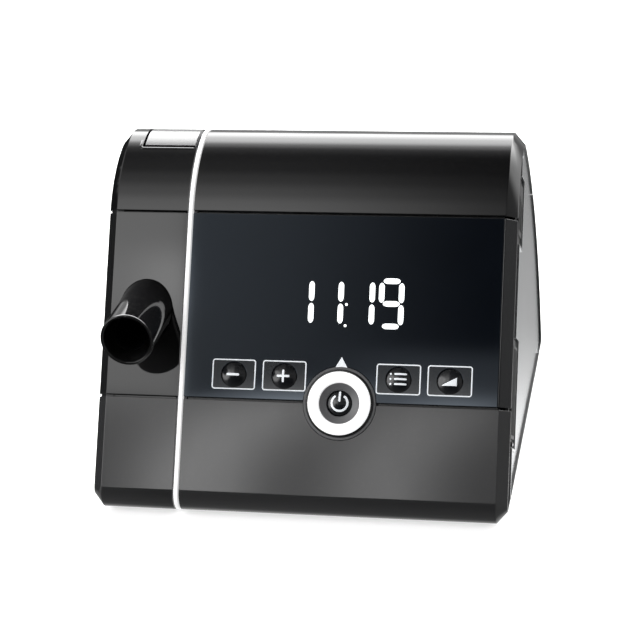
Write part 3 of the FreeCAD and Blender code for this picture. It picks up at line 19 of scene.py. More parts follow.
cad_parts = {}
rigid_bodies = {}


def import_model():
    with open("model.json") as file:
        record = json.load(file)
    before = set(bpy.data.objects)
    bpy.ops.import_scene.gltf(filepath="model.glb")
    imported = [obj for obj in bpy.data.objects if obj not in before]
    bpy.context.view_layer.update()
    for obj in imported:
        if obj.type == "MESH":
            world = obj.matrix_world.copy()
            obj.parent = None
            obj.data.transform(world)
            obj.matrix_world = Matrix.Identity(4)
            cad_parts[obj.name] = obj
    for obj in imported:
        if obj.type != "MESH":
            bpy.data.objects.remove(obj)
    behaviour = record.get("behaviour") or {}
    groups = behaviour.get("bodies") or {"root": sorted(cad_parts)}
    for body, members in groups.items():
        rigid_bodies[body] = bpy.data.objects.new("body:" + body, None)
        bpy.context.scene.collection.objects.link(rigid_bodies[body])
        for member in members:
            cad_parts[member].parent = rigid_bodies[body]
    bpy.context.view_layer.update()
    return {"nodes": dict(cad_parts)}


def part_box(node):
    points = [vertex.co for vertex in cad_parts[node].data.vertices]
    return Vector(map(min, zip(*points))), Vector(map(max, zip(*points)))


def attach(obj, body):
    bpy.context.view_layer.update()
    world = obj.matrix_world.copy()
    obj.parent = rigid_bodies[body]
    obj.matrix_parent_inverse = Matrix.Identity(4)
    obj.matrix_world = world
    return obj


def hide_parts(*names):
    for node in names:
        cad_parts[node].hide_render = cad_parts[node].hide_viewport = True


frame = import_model()
nodes = frame["nodes"]
MM = 0.001
print("solids loaded:", len(nodes))

# %% [markdown]
# ## The camera
# The object is seen a little from the right and from above with a long lens, which keeps
# the edges nearly parallel. A long lens far away and a short lens close by can frame the
# same object, but only one of them gives the right perspective, so the place, the aim, the
# lens and the small roll are set together.

# %% The camera
CAMERA_PLACE = Vector((157.276, -787.644, 400.471)) * MM
CAMERA_AIM = Vector((3.5, -35.17, 67.64)) * MM
CAMERA_ROLL = -3.06
CAMERA_LENS = 112.69
CAMERA_SENSOR = 36.0


def aim_camera():
    data = bpy.data.cameras.new("camera")
    data.lens = CAMERA_LENS
    data.sensor_width = CAMERA_SENSOR
    camera = bpy.data.objects.new("camera", data)
    look = (CAMERA_AIM - CAMERA_PLACE).normalized()
    right = look.cross(Vector((0, 0, 1))).normalized()
    up = right.cross(look)
    turn = math.radians(CAMERA_ROLL)
    rolled_right = right * math.cos(turn) + up * math.sin(turn)
    rolled_up = up * math.cos(turn) - right * math.sin(turn)
    axes = Matrix((rolled_right, rolled_up, -look)).transposed()
    camera.matrix_world = Matrix.Translation(CAMERA_PLACE) @ axes.to_4x4()
    bpy.context.scene.collection.objects.link(camera)
    bpy.context.scene.camera = camera
    return camera


camera = aim_camera()
print("camera at", [round(value, 3) for value in camera.location])

# %% [markdown]
# ## The room
# A glossy black case shows little of its own colour: what the eye reads is the room in it.
# The room here is a plain soft studio painted into the world shader. A few wide bands run
# over the object from the front horizon, across the top, to the back. Area lights could do
# the same, but their edges are harder to feather, and a band that wraps round the whole
# object keeps the reflection straight along the long case.
#
# Two numbers say where a ray goes: `turn` is its angle over the object in degrees, and
# `across` is how far it leans to the right.

# %% Small helpers for node trees
def wire(tree, value, socket):
    if isinstance(value, bpy.types.NodeSocket):
        tree.links.new(value, socket)
    else:
        socket.default_value = value


def add(tree, kind, inputs=(), **settings):
    """A new node with its settings, and its inputs set or wired by name or number."""
    node = tree.nodes.new(kind)
    for label, value in settings.items():
        setattr(node, label, value)
    for label, value in dict(inputs).items():
        wire(tree, value, node.inputs[label])
    return node


def give(tree, sockets, **values):
    """Sets or wires sockets by name, with an underscore for each blank in a name."""
    for label, value in values.items():
        wire(tree, value, sockets[label.replace("_", " ")])


def maths(tree, operation, *values, kind="ShaderNodeMath"):
    node = add(tree, kind, enumerate(values), operation=operation)
    return node.outputs["Value"] if operation == "DOT_PRODUCT" else node.outputs[0]


def ease(tree, value, low, high, start=0.0, end=1.0):
    """Goes softly from start to end while the value goes from low to high."""
    sizes = {"From Min": low, "From Max": high, "To Min": start, "To Max": end, "Value": value}
    node = add(tree, "ShaderNodeMapRange", sizes, interpolation_type="SMOOTHSTEP")
    return node.outputs["Result"]


def product(tree, *values):
    total = values[0]
    for value in values[1:]:
        total = maths(tree, "MULTIPLY", total, value)
    return total


def blend(tree, share, low, high):
    return maths(tree, "MULTIPLY_ADD", share, maths(tree, "SUBTRACT", high, low), low)


def between(tree, value, rise, fall):
    """One between a soft rise and a soft fall, and zero outside them."""
    return product(tree, ease(tree, value, *rise), ease(tree, value, *fall, 1.0, 0.0))


# %% The room's bands
# Degrees over the object, and how bright the room is there.
ROOM_BANDS = (
    (-180, 0.5), (-162, 0.35), (-156, 0.5), (-152.5, 1.6), (-115, 1.2), (-80, 0.5), (-40, 0.3),
    (-20, 0.16), (0, 0.05), (24, 0.04), (30, 0.3), (36, 0.8), (40, 0.85), (43, 3.2), (50, 2.9),
    (62, 1.75), (76, 0.85), (88, 0.36), (104, 0.22), (113, 0.5), (119, 2.6), (125, 9.6),
    (140, 11.5), (152, 11.5), (158, 4.0), (164, 0.8), (172, 0.8), (180, 1.0),
)
BAND_PEAK = 12.0
print("room bands:", len(ROOM_BANDS))


def room_bands(tree, turn):
    ramp = tree.nodes.new("ShaderNodeValToRGB")
    ramp.color_ramp.interpolation = "EASE"
    stops = ramp.color_ramp.elements
    while len(stops) < len(ROOM_BANDS):
        stops.new(0.5)
    for stop, (degrees, bright) in zip(stops, ROOM_BANDS):
        stop.position = degrees / 360 + 0.5
        level = bright / BAND_PEAK
        stop.color = (level, level, level, 1)
    tree.links.new(maths(tree, "MULTIPLY_ADD", turn, 1 / 360, 0.5), ramp.inputs[0])
    return maths(tree, "MULTIPLY", ramp.outputs[0], BAND_PEAK)


# %% The fall from left to right
# The window light stands at the left, so the low and middle bands fade to the right. Each
# fall gives where it starts and ends across, and how bright it is before and after.
LOW_FALL = (-0.25, -0.095, 1.0, 0.03)
HIGH_FALL = (-0.23, -0.07, 1.0, 0.16)
FALL_JOIN = (39.5, 41.5)
FALL_END = (100.0, 115.0)
FALL_START = (-20.0, 10.0)
print("the low light fades out between", LOW_FALL[0], "and", LOW_FALL[1], "across")


def room_fall(tree, turn, across):
    low = ease(tree, across, *LOW_FALL)
    high = ease(tree, across, *HIGH_FALL)
    fall = blend(tree, ease(tree, turn, *FALL_JOIN), low, high)
    over = ease(tree, turn, *FALL_END)
    under = ease(tree, turn, *FALL_START, 1.0, 0.0)
    return blend(tree, maths(tree, "MAXIMUM", over, under), fall, 1.0)


# %% Soft boxes low in front
# Two narrow lamps lean across the lower cover. Each follows a gentle bow: its middle moves
# to the right the higher it is seen. Two shelves of light lie over them, and a wedge of
# light fills the corner between the upper shelf and the column.
LAMP_FOOT = 31.5
LAMP_RISE, LAMP_SET = (28.0, 30.0), (33.4, 34.3)
LOW_LAMPS = ((-0.243, 0.0095, 0.022, 5.5), (-0.151, 0.0075, 0.020, 4.0))
LOW_SHELF_RISE, LOW_SHELF_SET, LOW_SHELF = (28.0, 29.5), (33.4, 34.0), 0.7
HIGH_SHELF_RISE, HIGH_SHELF_SET, HIGH_SHELF = (32.8, 33.6), (34.9, 35.65), 0.62
HIGH_SHELF_SIDE = (-0.19, -0.13)
WEDGE_LEAN, WEDGE_TIP, WEDGE_SOFT = 0.1, (-0.242, 33.85), 0.006
WEDGE_SET, WEDGE_FALL = (33.9, 34.8), (-0.14, -0.09, 1.2, 0.2)
print("low lamps:", len(LOW_LAMPS))


def low_lamps(tree, turn, across):
    total = 0.0
    up = maths(tree, "MAXIMUM", maths(tree, "SUBTRACT", turn, LAMP_FOOT), 0.0)
    bow = maths(tree, "MULTIPLY", up, up)
    inside = between(tree, turn, LAMP_RISE, LAMP_SET)
    for middle, bend, reach, bright in LOW_LAMPS:
        line = maths(tree, "MULTIPLY_ADD", bow, bend, middle)
        off = maths(tree, "ABSOLUTE", maths(tree, "SUBTRACT", across, line))
        glow = ease(tree, off, 0.0, 2 * reach, bright, 0.0)
        total = maths(tree, "MULTIPLY_ADD", glow, inside, total)
    level = between(tree, turn, LOW_SHELF_RISE, LOW_SHELF_SET)
    total = maths(tree, "MULTIPLY_ADD", level, LOW_SHELF, total)
    start = ease(tree, turn, *HIGH_SHELF_RISE)
    high = product(tree, start, ease(tree, turn, *HIGH_SHELF_SET, 1.0, 0.0),
                   ease(tree, across, *HIGH_SHELF_SIDE))
    total = maths(tree, "MULTIPLY_ADD", high, HIGH_SHELF, total)
    tip_across, tip_turn = WEDGE_TIP
    lean = maths(tree, "MULTIPLY_ADD", turn, -WEDGE_LEAN, tip_turn * WEDGE_LEAN - tip_across)
    low = product(tree, ease(tree, turn, *WEDGE_SET, 1.0, 0.0), ease(tree, across, *WEDGE_FALL),
                  ease(tree, maths(tree, "ADD", across, lean), -WEDGE_SOFT, WEDGE_SOFT))
    return maths(tree, "MULTIPLY_ADD", start, low, total)


# %% Lamps for the column
# A tall lamp stands where only the column sees it, with a brighter band half way up. A round
# one far to the left draws the bright line along the tube.
COLUMN_LEFT, COLUMN_RIGHT = (-0.60, -0.52), (-0.2495, -0.2475)
COLUMN_RISE, COLUMN_SET = (33.65, 33.85), (40.0, 41.0)
COLUMN_BAND_RISE, COLUMN_BAND_SET = (35.2, 36.8), (37.4, 38.6)
COLUMN_BAND, COLUMN_LIGHT = (-0.285, -0.255, 0.6, 2.2), 2.8
LEFT_LAMP = (-0.80, -0.47, 0.37)
LEFT_LAMP_EDGE = (0.88, 0.95)
LEFT_LAMP_LIGHT = 4.0
print("left lamp lies towards", LEFT_LAMP)


def column_lamp(tree, turn, across):
    side = between(tree, across, COLUMN_LEFT, COLUMN_RIGHT)
    height = between(tree, turn, COLUMN_RISE, COLUMN_SET)
    middle = between(tree, turn, COLUMN_BAND_RISE, COLUMN_BAND_SET)
    band = ease(tree, across, *COLUMN_BAND)
    return product(tree, side, height, maths(tree, "MULTIPLY_ADD", middle, band, COLUMN_LIGHT))


def left_lamp(tree, *ray):
    toward = 0.0
    for part, share in zip(LEFT_LAMP, ray):
        toward = maths(tree, "MULTIPLY_ADD", share, part, toward)
    return ease(tree, toward, *LEFT_LAMP_EDGE, 0.0, LEFT_LAMP_LIGHT)


# %% The sides of the room
# The right wall lights the right bevel evenly, and a dark corner behind the left end keeps
# the left bevel black. The corner gives its bounds across, ahead, above and at its edge.
RIGHT_WALL, RIGHT_FRONT, RIGHT_BACK = (0.55, 0.8), (0.25, 0.45), (0.7, 0.85, 1.0, 0.25)
RIGHT_LIGHT, RIGHT_GAIN = 0.5, 2.8
LEFT_WALL, LEFT_LIGHT = (-0.7, -0.5, 1.0, 0.0), 0.5
CORNER_SIDE, CORNER_AHEAD, CORNER_FOOT = (-0.40, -0.30, 1.0, 0.0), (0.22, 0.30), (-0.42, -0.34)
CORNER_LINE, CORNER_EDGE, CORNER_DARK = (-0.62, -0.50, 0.03, -0.11), (0.0, 0.06, 1.0, 0.0), 0.95
print("side walls start at", LEFT_WALL[1], "and", RIGHT_WALL[0], "across")


def side_walls(tree, across, ahead, above, room):
    lit = maths(tree, "MULTIPLY_ADD", ease(tree, ahead, *RIGHT_FRONT), RIGHT_GAIN, RIGHT_LIGHT)
    lit = product(tree, lit, ease(tree, ahead, *RIGHT_BACK))
    room = blend(tree, ease(tree, across, *RIGHT_WALL), room, lit)
    room = blend(tree, ease(tree, across, *LEFT_WALL), room, LEFT_LIGHT)
    edge = maths(tree, "SUBTRACT", above, ease(tree, across, *CORNER_LINE))
    corner = product(tree, ease(tree, across, *CORNER_SIDE), ease(tree, ahead, *CORNER_AHEAD),
                     ease(tree, above, *CORNER_FOOT), ease(tree, edge, *CORNER_EDGE))
    return product(tree, room, maths(tree, "MULTIPLY_ADD", corner, -CORNER_DARK, 1.0))


# %% Paint the room
def paint_room():
    world = bpy.data.worlds.new("studio")
    bpy.context.scene.world = world
    world.use_nodes = True
    tree = world.node_tree
    tree.nodes.clear()
    ray = add(tree, "ShaderNodeTexCoord").outputs["Generated"]
    across, ahead, above = add(tree, "ShaderNodeSeparateXYZ", {0: ray}).outputs
    angle = maths(tree, "ARCTAN2", above, maths(tree, "MULTIPLY", ahead, -1.0))
    turn = maths(tree, "DEGREES", angle)
    room = product(tree, room_bands(tree, turn), room_fall(tree, turn, across))
    room = maths(tree, "ADD", room, low_lamps(tree, turn, across))
    room = maths(tree, "ADD", room, column_lamp(tree, turn, across))
    room = side_walls(tree, across, ahead, above, room)
    room = maths(tree, "ADD", room, left_lamp(tree, across, ahead, above))
    seen = add(tree, "ShaderNodeLightPath").outputs["Is Camera Ray"]
    shown = add(tree, "ShaderNodeMix", {0: seen, 2: room, 3: 1.0}, data_type="FLOAT")
    light = add(tree, "ShaderNodeBackground", {"Strength": shown.outputs[0]})
    add(tree, "ShaderNodeOutputWorld", {0: light.outputs[0]})
    return world


studio = paint_room()
bpy.context.scene.view_settings.view_transform = "Standard"
print("nodes in the room:", len(studio.node_tree.nodes))

# %% [markdown]
# ## The floor
# The machine stands on a pale table top. A wide sheet that is lit as evenly as it can be
# lets the case stand out, so its own glow fills most of the shadow. Mirror rays pass it by,
# so that the case's lower edge stays as dark as it would over a matt table.

# %% The floor
FLOOR_REACH = 12.0
FLOOR_GLOW = 0.62
FLOOR_TINTS = (0.86, 0.9)


def shaded(name, **sockets):
    """A new material with these values on its shader, its tree, and the shader's sockets."""
    made = bpy.data.materials.new(name)
    made.use_nodes = True
    shader = made.node_tree.nodes["Principled BSDF"]
    give(made.node_tree, shader.inputs, **sockets)
    return made, made.node_tree, shader.inputs


def lay_floor():
    bpy.ops.mesh.primitive_plane_add(size=2 * FLOOR_REACH)
    floor = bpy.context.object
    floor.name = "floor"
    paint, tree, shader = shaded("table_top", Roughness=0.8, Specular_IOR_Level=0.2,
                                 Emission_Color=(1, 1, 1, 1), Emission_Strength=FLOOR_GLOW)
    speckle = add(tree, "ShaderNodeTexNoise", {"Scale": 3.0})
    tint = add(tree, "ShaderNodeValToRGB", {0: speckle.outputs["Fac"]})
    for stop, grey in zip(tint.color_ramp.elements, FLOOR_TINTS):
        stop.color = (grey, grey, grey, 1)
    give(tree, shader, Base_Color=tint.outputs[0])
    floor.data.materials.append(paint)
    floor.visible_glossy = False
    floor.visible_diffuse = False
    return floor


floor = lay_floor()
print("floor laid, metres across:", 2 * FLOOR_REACH)

# %% [markdown]
# ## Effects that many finishes share
# A moulded or painted surface is never one flat colour. It has a fine grain from the mould,
# it is a little lighter and duller where hands have been, and dust settles on what faces
# up. Each of these is one shader group with its own inputs, placed in every finish with
# that finish's own values, so a change of the grain changes every plastic at once.

# %% Shader groups
COLOUR = "NodeSocketColor"
NUMBER = "NodeSocketFloat"
KINDS = {tuple: COLOUR, float: NUMBER, int: "NodeSocketInt", type(None): "NodeSocketObject"}
VECTOR_MATHS = "ShaderNodeVectorMath"


def add_sizes(tree, sizes):
    """Gives a tree one input for each size, of the kind that its value has."""
    for label, value in sizes.items():
        kind = KINDS[type(value)]
        tree.interface.new_socket(label, in_out="INPUT", socket_type=kind).default_value = value


def shader_group(name, outputs, **sizes):
    tree = bpy.data.node_groups.new(name, "ShaderNodeTree")
    add_sizes(tree, sizes)
    for label in outputs:
        kind = COLOUR if label == "Color" else NUMBER
        tree.interface.new_socket(label, in_out="OUTPUT", socket_type=kind)
    given = add(tree, "NodeGroupInput").outputs
    made = add(tree, "NodeGroupOutput").inputs
    where = add(tree, "ShaderNodeTexCoord").outputs["Object"]
    return tree, given, made, where


def noise(tree, where, scale, detail=2.0, squash=None):
    if squash:
        where = add(tree, "ShaderNodeMapping", {"Vector": where, "Scale": squash}).outputs[0]
    sizes = {"Vector": where, "Scale": scale, "Detail": detail}
    return add(tree, "ShaderNodeTexNoise", sizes).outputs["Fac"]


def scaled(tree, value, factor):
    """A colour or a vector times a factor that changes from place to place."""
    return add(tree, VECTOR_MATHS, {0: value, "Scale": factor}, operation="SCALE").outputs[0]


# %% The moulded skin
# A noise here is its scale, its detail and, where it is drawn out, how much each way.
CLOUD_NOISE = (38.0, 3.0)
WIPE_NOISE = (90.0, 4.0, (1.0, 1.0, 0.3))
LEAST_ROUGHNESS = 0.01


def build_moulded_skin():
    tree, given, made, where = shader_group(
        "moulded_skin", ("Color", "Roughness", "Height"), Tint=(0.5, 0.5, 0.5, 1),
        Roughness=0.4, Patch=0.1, Smudge=0.05, Grain=1500.0)
    cloud = maths(tree, "SUBTRACT", noise(tree, where, *CLOUD_NOISE), 0.5)
    wipe = maths(tree, "SUBTRACT", noise(tree, where, *WIPE_NOISE), 0.5)
    light = maths(tree, "MULTIPLY_ADD", cloud, given["Patch"], 1.0)
    dull = maths(tree, "MULTIPLY_ADD", wipe, given["Smudge"], given["Roughness"])
    give(tree, made, Color=scaled(tree, given["Tint"], light),
         Roughness=maths(tree, "MAXIMUM", dull, LEAST_ROUGHNESS),
         Height=noise(tree, where, given["Grain"], 1.0))
    return tree


MOULDED_SKIN = build_moulded_skin()
print("moulded skin, nodes:", len(MOULDED_SKIN.nodes))

# %% Dust that has settled
DUST_COLOUR = (0.62, 0.6, 0.57, 1)
DUST_FACING, SPECK_EDGE = (0.2, 0.95), (0.5, 0.75)


def build_settled_dust():
    tree, given, made, where = shader_group(
        "settled_dust", ("Color", "Mask"), Color=(0.5, 0.5, 0.5, 1), Amount=0.02, Size=700.0)
    facing = add(tree, "ShaderNodeNewGeometry").outputs["Normal"]
    rise = add(tree, "ShaderNodeSeparateXYZ", {0: facing}).outputs[2]
    specks = ease(tree, noise(tree, where, given["Size"], 3.0), *SPECK_EDGE)
    mask = product(tree, ease(tree, rise, *DUST_FACING), specks, given["Amount"])
    colours = {0: mask, 6: given["Color"], 7: DUST_COLOUR}
    mixed = add(tree, "ShaderNodeMix", colours, data_type="RGBA")
    give(tree, made, Color=mixed.outputs[2], Mask=mask)
    return tree


SETTLED_DUST = build_settled_dust()
print("settled dust, nodes:", len(SETTLED_DUST.nodes))

# %% Lines drawn along one way
LINE_NOISE = (900.0, 2.0, (0.03, 1.0, 1.0))
LINE_SHADE, LINE_LEAST = 0.25, 0.02


def build_drawn_lines():
    tree, given, made, where = shader_group(
        "drawn_lines", ("Color", "Roughness", "Height"), Tint=(0.6, 0.6, 0.6, 1),
        Roughness=0.3, Spread=0.15)
    lines = noise(tree, where, *LINE_NOISE)
    off = maths(tree, "SUBTRACT", lines, 0.5)
    light = maths(tree, "MULTIPLY_ADD", off, LINE_SHADE, 1.0)
    dull = maths(tree, "MULTIPLY_ADD", off, given["Spread"], given["Roughness"])
    give(tree, made, Color=scaled(tree, given["Tint"], light),
         Roughness=maths(tree, "MAXIMUM", dull, LINE_LEAST), Height=lines)
    return tree


DRAWN_LINES = build_drawn_lines()
print("drawn lines, nodes:", len(DRAWN_LINES.nodes))

# %% Open cells and fibres
CELL_WALL = (0.15, 0.6)
FIBRE_NOISE = (1400.0, 2.0, (1.0, 0.12, 1.0))
CELL_SHADE, CELL_LEAST = 0.9, 0.45


def build_open_cells():
    tree, given, made, where = shader_group(
        "open_cells", ("Color", "Height"), Tint=(0.3, 0.3, 0.3, 1), Cell=900.0, Fibre=0.5)
    cells = add(tree, "ShaderNodeTexVoronoi", {"Vector": where, "Scale": given["Cell"]})
    walls = ease(tree, cells.outputs["Distance"], *CELL_WALL)
    fibres = noise(tree, where, *FIBRE_NOISE)
    mixed = blend(tree, given["Fibre"], walls, fibres)
    light = maths(tree, "MULTIPLY_ADD", mixed, CELL_SHADE, CELL_LEAST)
    give(tree, made, Color=scaled(tree, given["Tint"], light), Height=mixed)
    return tree


OPEN_CELLS = build_open_cells()
print("open cells, nodes:", len(OPEN_CELLS.nodes))

# %% [markdown]
# ## The finishes
# Gloss black, satin black, silver paint and the bright strip are the finishes that the eye
# meets, and the rest belong to what shows when a lid or cover is open. Every finish is one
# material with its own Principled shader. Values that are the same all over are set on the
# shader's own sockets, and only what changes over the surface comes from the groups.

# %% Making a finish
def place_group(tree, group, **values):
    node = add(tree, "ShaderNodeGroup", node_tree=group)
    give(tree, node.inputs, **values)
    return node.outputs


def bump(tree, height, depth):
    sizes = {"Distance": depth * MM, "Height": height}
    return add(tree, "ShaderNodeBump", sizes).outputs[0]


def moulded(name, tint, roughness, patch=0.12, smudge=0.04, grain=1500.0, depth=0.0,
            dust=0.02, **sockets):
    made, tree, shader = shaded(name, **sockets)
    skin = place_group(tree, MOULDED_SKIN, Tint=(*tint, 1), Roughness=roughness, Patch=patch,
                       Smudge=smudge, Grain=grain)
    dusty = place_group(tree, SETTLED_DUST, Color=skin["Color"], Amount=dust)
    rough = maths(tree, "MAXIMUM", skin["Roughness"], dusty["Mask"])
    give(tree, shader, Base_Color=dusty["Color"], Roughness=rough)
    if depth:
        give(tree, shader, Normal=bump(tree, skin["Height"], depth))
    return made


def drawn(name, tint, roughness, spread, depth=0.002):
    made, tree, shader = shaded(name, Metallic=1.0)
    lines = place_group(tree, DRAWN_LINES, Tint=(*tint, 1), Roughness=roughness, Spread=spread)
    give(tree, shader, Base_Color=lines["Color"], Roughness=lines["Roughness"],
         Normal=bump(tree, lines["Height"], depth))
    return made


def celled(name, tint, cell, fibre, depth):
    made, tree, shader = shaded(name, Roughness=0.9)
    cells = place_group(tree, OPEN_CELLS, Tint=(*tint, 1), Cell=cell, Fibre=fibre)
    give(tree, shader, Base_Color=cells["Color"], Normal=bump(tree, cells["Height"], depth))
    return made


# %% Plastics, paints and rubbers
SATIN_CASE = moulded("satin_case", (0.032, 0.032, 0.033), 0.09, patch=0.06, smudge=0.03,
                     grain=2600.0, depth=0.0006, dust=0.01)
BASE_BLACK = moulded("base_black", (0.012, 0.012, 0.0125), 0.5, grain=2600.0, depth=0.002,
                     dust=0.01, Specular_IOR_Level=0.12)
GLOSS_CASE = moulded("gloss_case", (0.0042, 0.0042, 0.0046), 0.10, patch=0.3, smudge=0.03,
                     grain=900.0, dust=0.006)
LID_CASE = moulded("lid_case", (0.006, 0.006, 0.0064), 0.27, patch=0.3, smudge=0.04,
                   grain=900.0, dust=0.01, Specular_IOR_Level=0.9, Coat_Weight=0.5,
                   Coat_Roughness=0.22)
COLUMN_LACQUER = moulded("column_lacquer", (0.012, 0.012, 0.0125), 0.045, patch=0.3, smudge=0.015,
                         dust=0.004)
SMOKED_WINDOW = moulded("smoked_window", (0.0040, 0.0055, 0.0085), 0.035, patch=0.5, smudge=0.012,
                        dust=0.003, Specular_IOR_Level=0.57, Specular_Tint=(0.76, 0.87, 1.0, 1))
DISH_GREY = moulded("dish_grey", (0.13, 0.13, 0.135), 0.34, smudge=0.05, grain=2200.0, depth=0.0008)
PRINTED_PLATE = moulded("printed_plate", (0.011, 0.015, 0.020), 0.06, patch=0.6, smudge=0.02)
SILVER_PAINT = moulded("silver_paint", (0.72, 0.73, 0.74), 0.2, patch=0.08, smudge=0.1,
                       grain=3800.0, depth=0.0012, Metallic=0.9)
# The white trim glows a little. This is painted light that keeps the strip and the ring's face bright
# whatever light the room gives them.
TRIM_PAINTED_GLOW = moulded("white_trim", (0.9, 0.9, 0.9), 0.25, patch=0.03, smudge=0.05,
                     Emission_Color=(1, 1, 1, 1), Emission_Strength=0.55)
# The white print glows a little. This is painted light on real white print, and it brightens the
# printed frames, signs and pointer.
PRINT_PAINTED_GLOW = moulded("white_print", (0.82, 0.84, 0.86), 0.35, patch=0.1, smudge=0.05,
                      Emission_Color=(0.9, 0.95, 1, 1), Emission_Strength=0.4)
FRAME_BLACK = moulded("frame_black", (0.010, 0.0105, 0.012), 0.22, smudge=0.08, grain=2200.0,
                      depth=0.0008)
KEY_RUBBER = moulded("key_rubber", (0.010, 0.011, 0.013), 0.17, smudge=0.06, grain=2800.0,
                     depth=0.001)
DARK_RUBBER = moulded("dark_rubber", (0.014, 0.014, 0.014), 0.45, smudge=0.1, grain=2400.0,
                      depth=0.002, dust=0.05)
TUBE_BLACK = moulded("tube_black", (0.0075, 0.0075, 0.008), 0.06, smudge=0.03, grain=1800.0,
                     depth=0.0003)
CHASSIS_GREY = moulded("chassis_grey", (0.18, 0.18, 0.19), 0.5, grain=1400.0, depth=0.003, dust=0.1)
CHIP_BLACK = moulded("chip_black", (0.02, 0.02, 0.021), 0.5, grain=3000.0, depth=0.002, dust=0.04)
COIL_TAPE = moulded("coil_tape", (0.75, 0.55, 0.12), 0.35, patch=0.3)
BLOWER_WHITE = moulded("blower_white", (0.8, 0.8, 0.78), 0.45, grain=1600.0, depth=0.002, dust=0.08)
RIBBON_CREAM = moulded("ribbon_cream", (0.8, 0.78, 0.7), 0.4, patch=0.1)
print("plastics ready")

# %% Metals, foams and felt
BRIGHT_STEEL = drawn("bright_steel", (0.62, 0.62, 0.64), 0.22, 0.12)
DRAWN_ALUMINIUM = drawn("drawn_aluminium", (0.75, 0.76, 0.78), 0.34, 0.2, 0.004)
PLATED_BRASS = drawn("plated_brass", (0.72, 0.6, 0.33), 0.25, 0.12)
FILTER_FOAM = celled("filter_foam", (0.25, 0.26, 0.28), 900.0, 0.15, 0.25)
FILTER_FELT = celled("filter_felt", (0.9, 0.9, 0.87), 2200.0, 0.85, 0.08)
QUIET_FOAM = celled("quiet_foam", (0.2, 0.2, 0.22), 700.0, 0.1, 0.3)
print("metals and foams ready")

# %% [markdown]
# ## The circuit boards
# A board is green lacquer over copper, and its tracks show as lighter lines at right angles.
# They could be cut as fine ridges, but real tracks are hardly thicker than the lacquer over
# them, so the joints of a brick pattern give them in the finish alone.

# %% The circuit board
BOARD_TRACKS = {"Color1": (0.02, 0.17, 0.085, 1), "Color2": (0.026, 0.2, 0.1, 1),
                "Mortar": (0.07, 0.33, 0.16, 1), "Scale": 160.0, "Mortar Size": 0.06}


def make_board_green():
    made, tree, shader = shaded("board_green", Roughness=0.35, Coat_Weight=0.4)
    where = add(tree, "ShaderNodeTexCoord").outputs["Object"]
    tracks = add(tree, "ShaderNodeTexBrick", {"Vector": where, **BOARD_TRACKS})
    dusty = place_group(tree, SETTLED_DUST, Color=tracks.outputs["Color"], Amount=0.05)
    give(tree, shader, Base_Color=dusty["Color"])
    return made


BOARD_GREEN = make_board_green()
print("board tracks, scale:", BOARD_TRACKS["Scale"])

# %% [markdown]
# ## The lit digits
# The digits glow through the smoked window. A plain emission would do, but the light of such
# a display is not quite even, so a soft noise moves the colour of the glow a little.

# %% The lit digits
GLOW_TINT, GLOW_SIZE, GLOW_RANGE = (0.97, 1.0, 1.0), 260.0, (0.92, 1.04)


def make_lit_digits():
    made, tree, shader = shaded("lit_digits", Roughness=0.3, Emission_Strength=1.15)
    where = add(tree, "ShaderNodeTexCoord").outputs["Object"]
    even = ease(tree, noise(tree, where, GLOW_SIZE), 0.0, 1.0, *GLOW_RANGE)
    glow = scaled(tree, GLOW_TINT, even)
    give(tree, shader, Emission_Color=glow, Base_Color=glow)
    return made


LIT_DIGITS = make_lit_digits()
print("glow between", GLOW_RANGE[0], "and", GLOW_RANGE[1])

# %% A finish for each slot
SLOT_FINISHES = {
    "case_black": GLOSS_CASE, "column_gloss": COLUMN_LACQUER, "smoked_window": SMOKED_WINDOW,
    "frame_black": FRAME_BLACK, "silver_paint": SILVER_PAINT, "trim_white": TRIM_PAINTED_GLOW,
    "key_rubber": KEY_RUBBER, "rubber_dark": DARK_RUBBER, "chassis_grey": CHASSIS_GREY,
    "tube_black": TUBE_BLACK, "steel": BRIGHT_STEEL, "board_green": BOARD_GREEN,
    "chip_black": CHIP_BLACK, "coil_yellow": COIL_TAPE, "aluminium": DRAWN_ALUMINIUM,
    "filter_grey": FILTER_FOAM, "filter_white": FILTER_FELT, "foam_grey": QUIET_FOAM,
    "blower_white": BLOWER_WHITE, "display_lit": LIT_DIGITS, "ribbon_cream": RIBBON_CREAM,
    "contact_metal": PLATED_BRASS,
}
print("finishes:", len(bpy.data.materials))

# %% [markdown]
# ## Dressing the solids
# Every solid knows the material slot that the drawing gives it, so one table takes each
# slot to a finish. A few solids differ from their slot: the lower and rear covers are
# moulded with a satin skin and the base with a matt one, while the upper ones are polished.
# The filter lid, the dish round the power key and the data socket have finishes of their own.

# %% Dress every solid
SATIN_NODES = ("lower_cover", "column_lower_cover", "rear_cover", "column_rear_cover")
slot_of = {name: solid.data.materials[0].name.split(".")[0] for name, solid in nodes.items()}
finish_of = {name: SLOT_FINISHES[slot] for name, slot in slot_of.items()}
finish_of.update({name: SATIN_CASE for name in SATIN_NODES})
finish_of.update(base_plate=BASE_BLACK, filter_lid=LID_CASE, power_dish=DISH_GREY,
                 data_socket=BRIGHT_STEEL)
for name, solid in nodes.items():
    solid.data.materials.clear()
    solid.data.materials.append(finish_of[name])
print("solids dressed:", len(finish_of))

# %% [markdown]
# ## Finding places on the case
# Signs and lamps sit on the leaning panel, and the strip and the lid's lip follow the case
# round. Two rules give those places. `on_panel` goes a distance up the flat panel from its
# sharp foot. `on_case` goes on over the three bends of the back in the same way, and both
# can lift a point off the surface along its own outward direction.

# %% Places on the panel and round the case
PANEL_FOOT = Vector((0, -95.1735, 1.5)) * MM
PANEL_LEAN = math.radians(30.0)
PANEL_RISE = Vector((0, math.sin(PANEL_LEAN), math.cos(PANEL_LEAN)))
PANEL_OUT = Vector((0, -math.cos(PANEL_LEAN), math.sin(PANEL_LEAN)))
PANEL_FLAT = 128.0
CASE_BENDS = ((50.6, 44.2), (20.0, 56.2), (217.2, 60.0))
TOP_RUN = 167.0


def facing_way(angle):
    return Vector((0, math.cos(angle), math.sin(angle)))


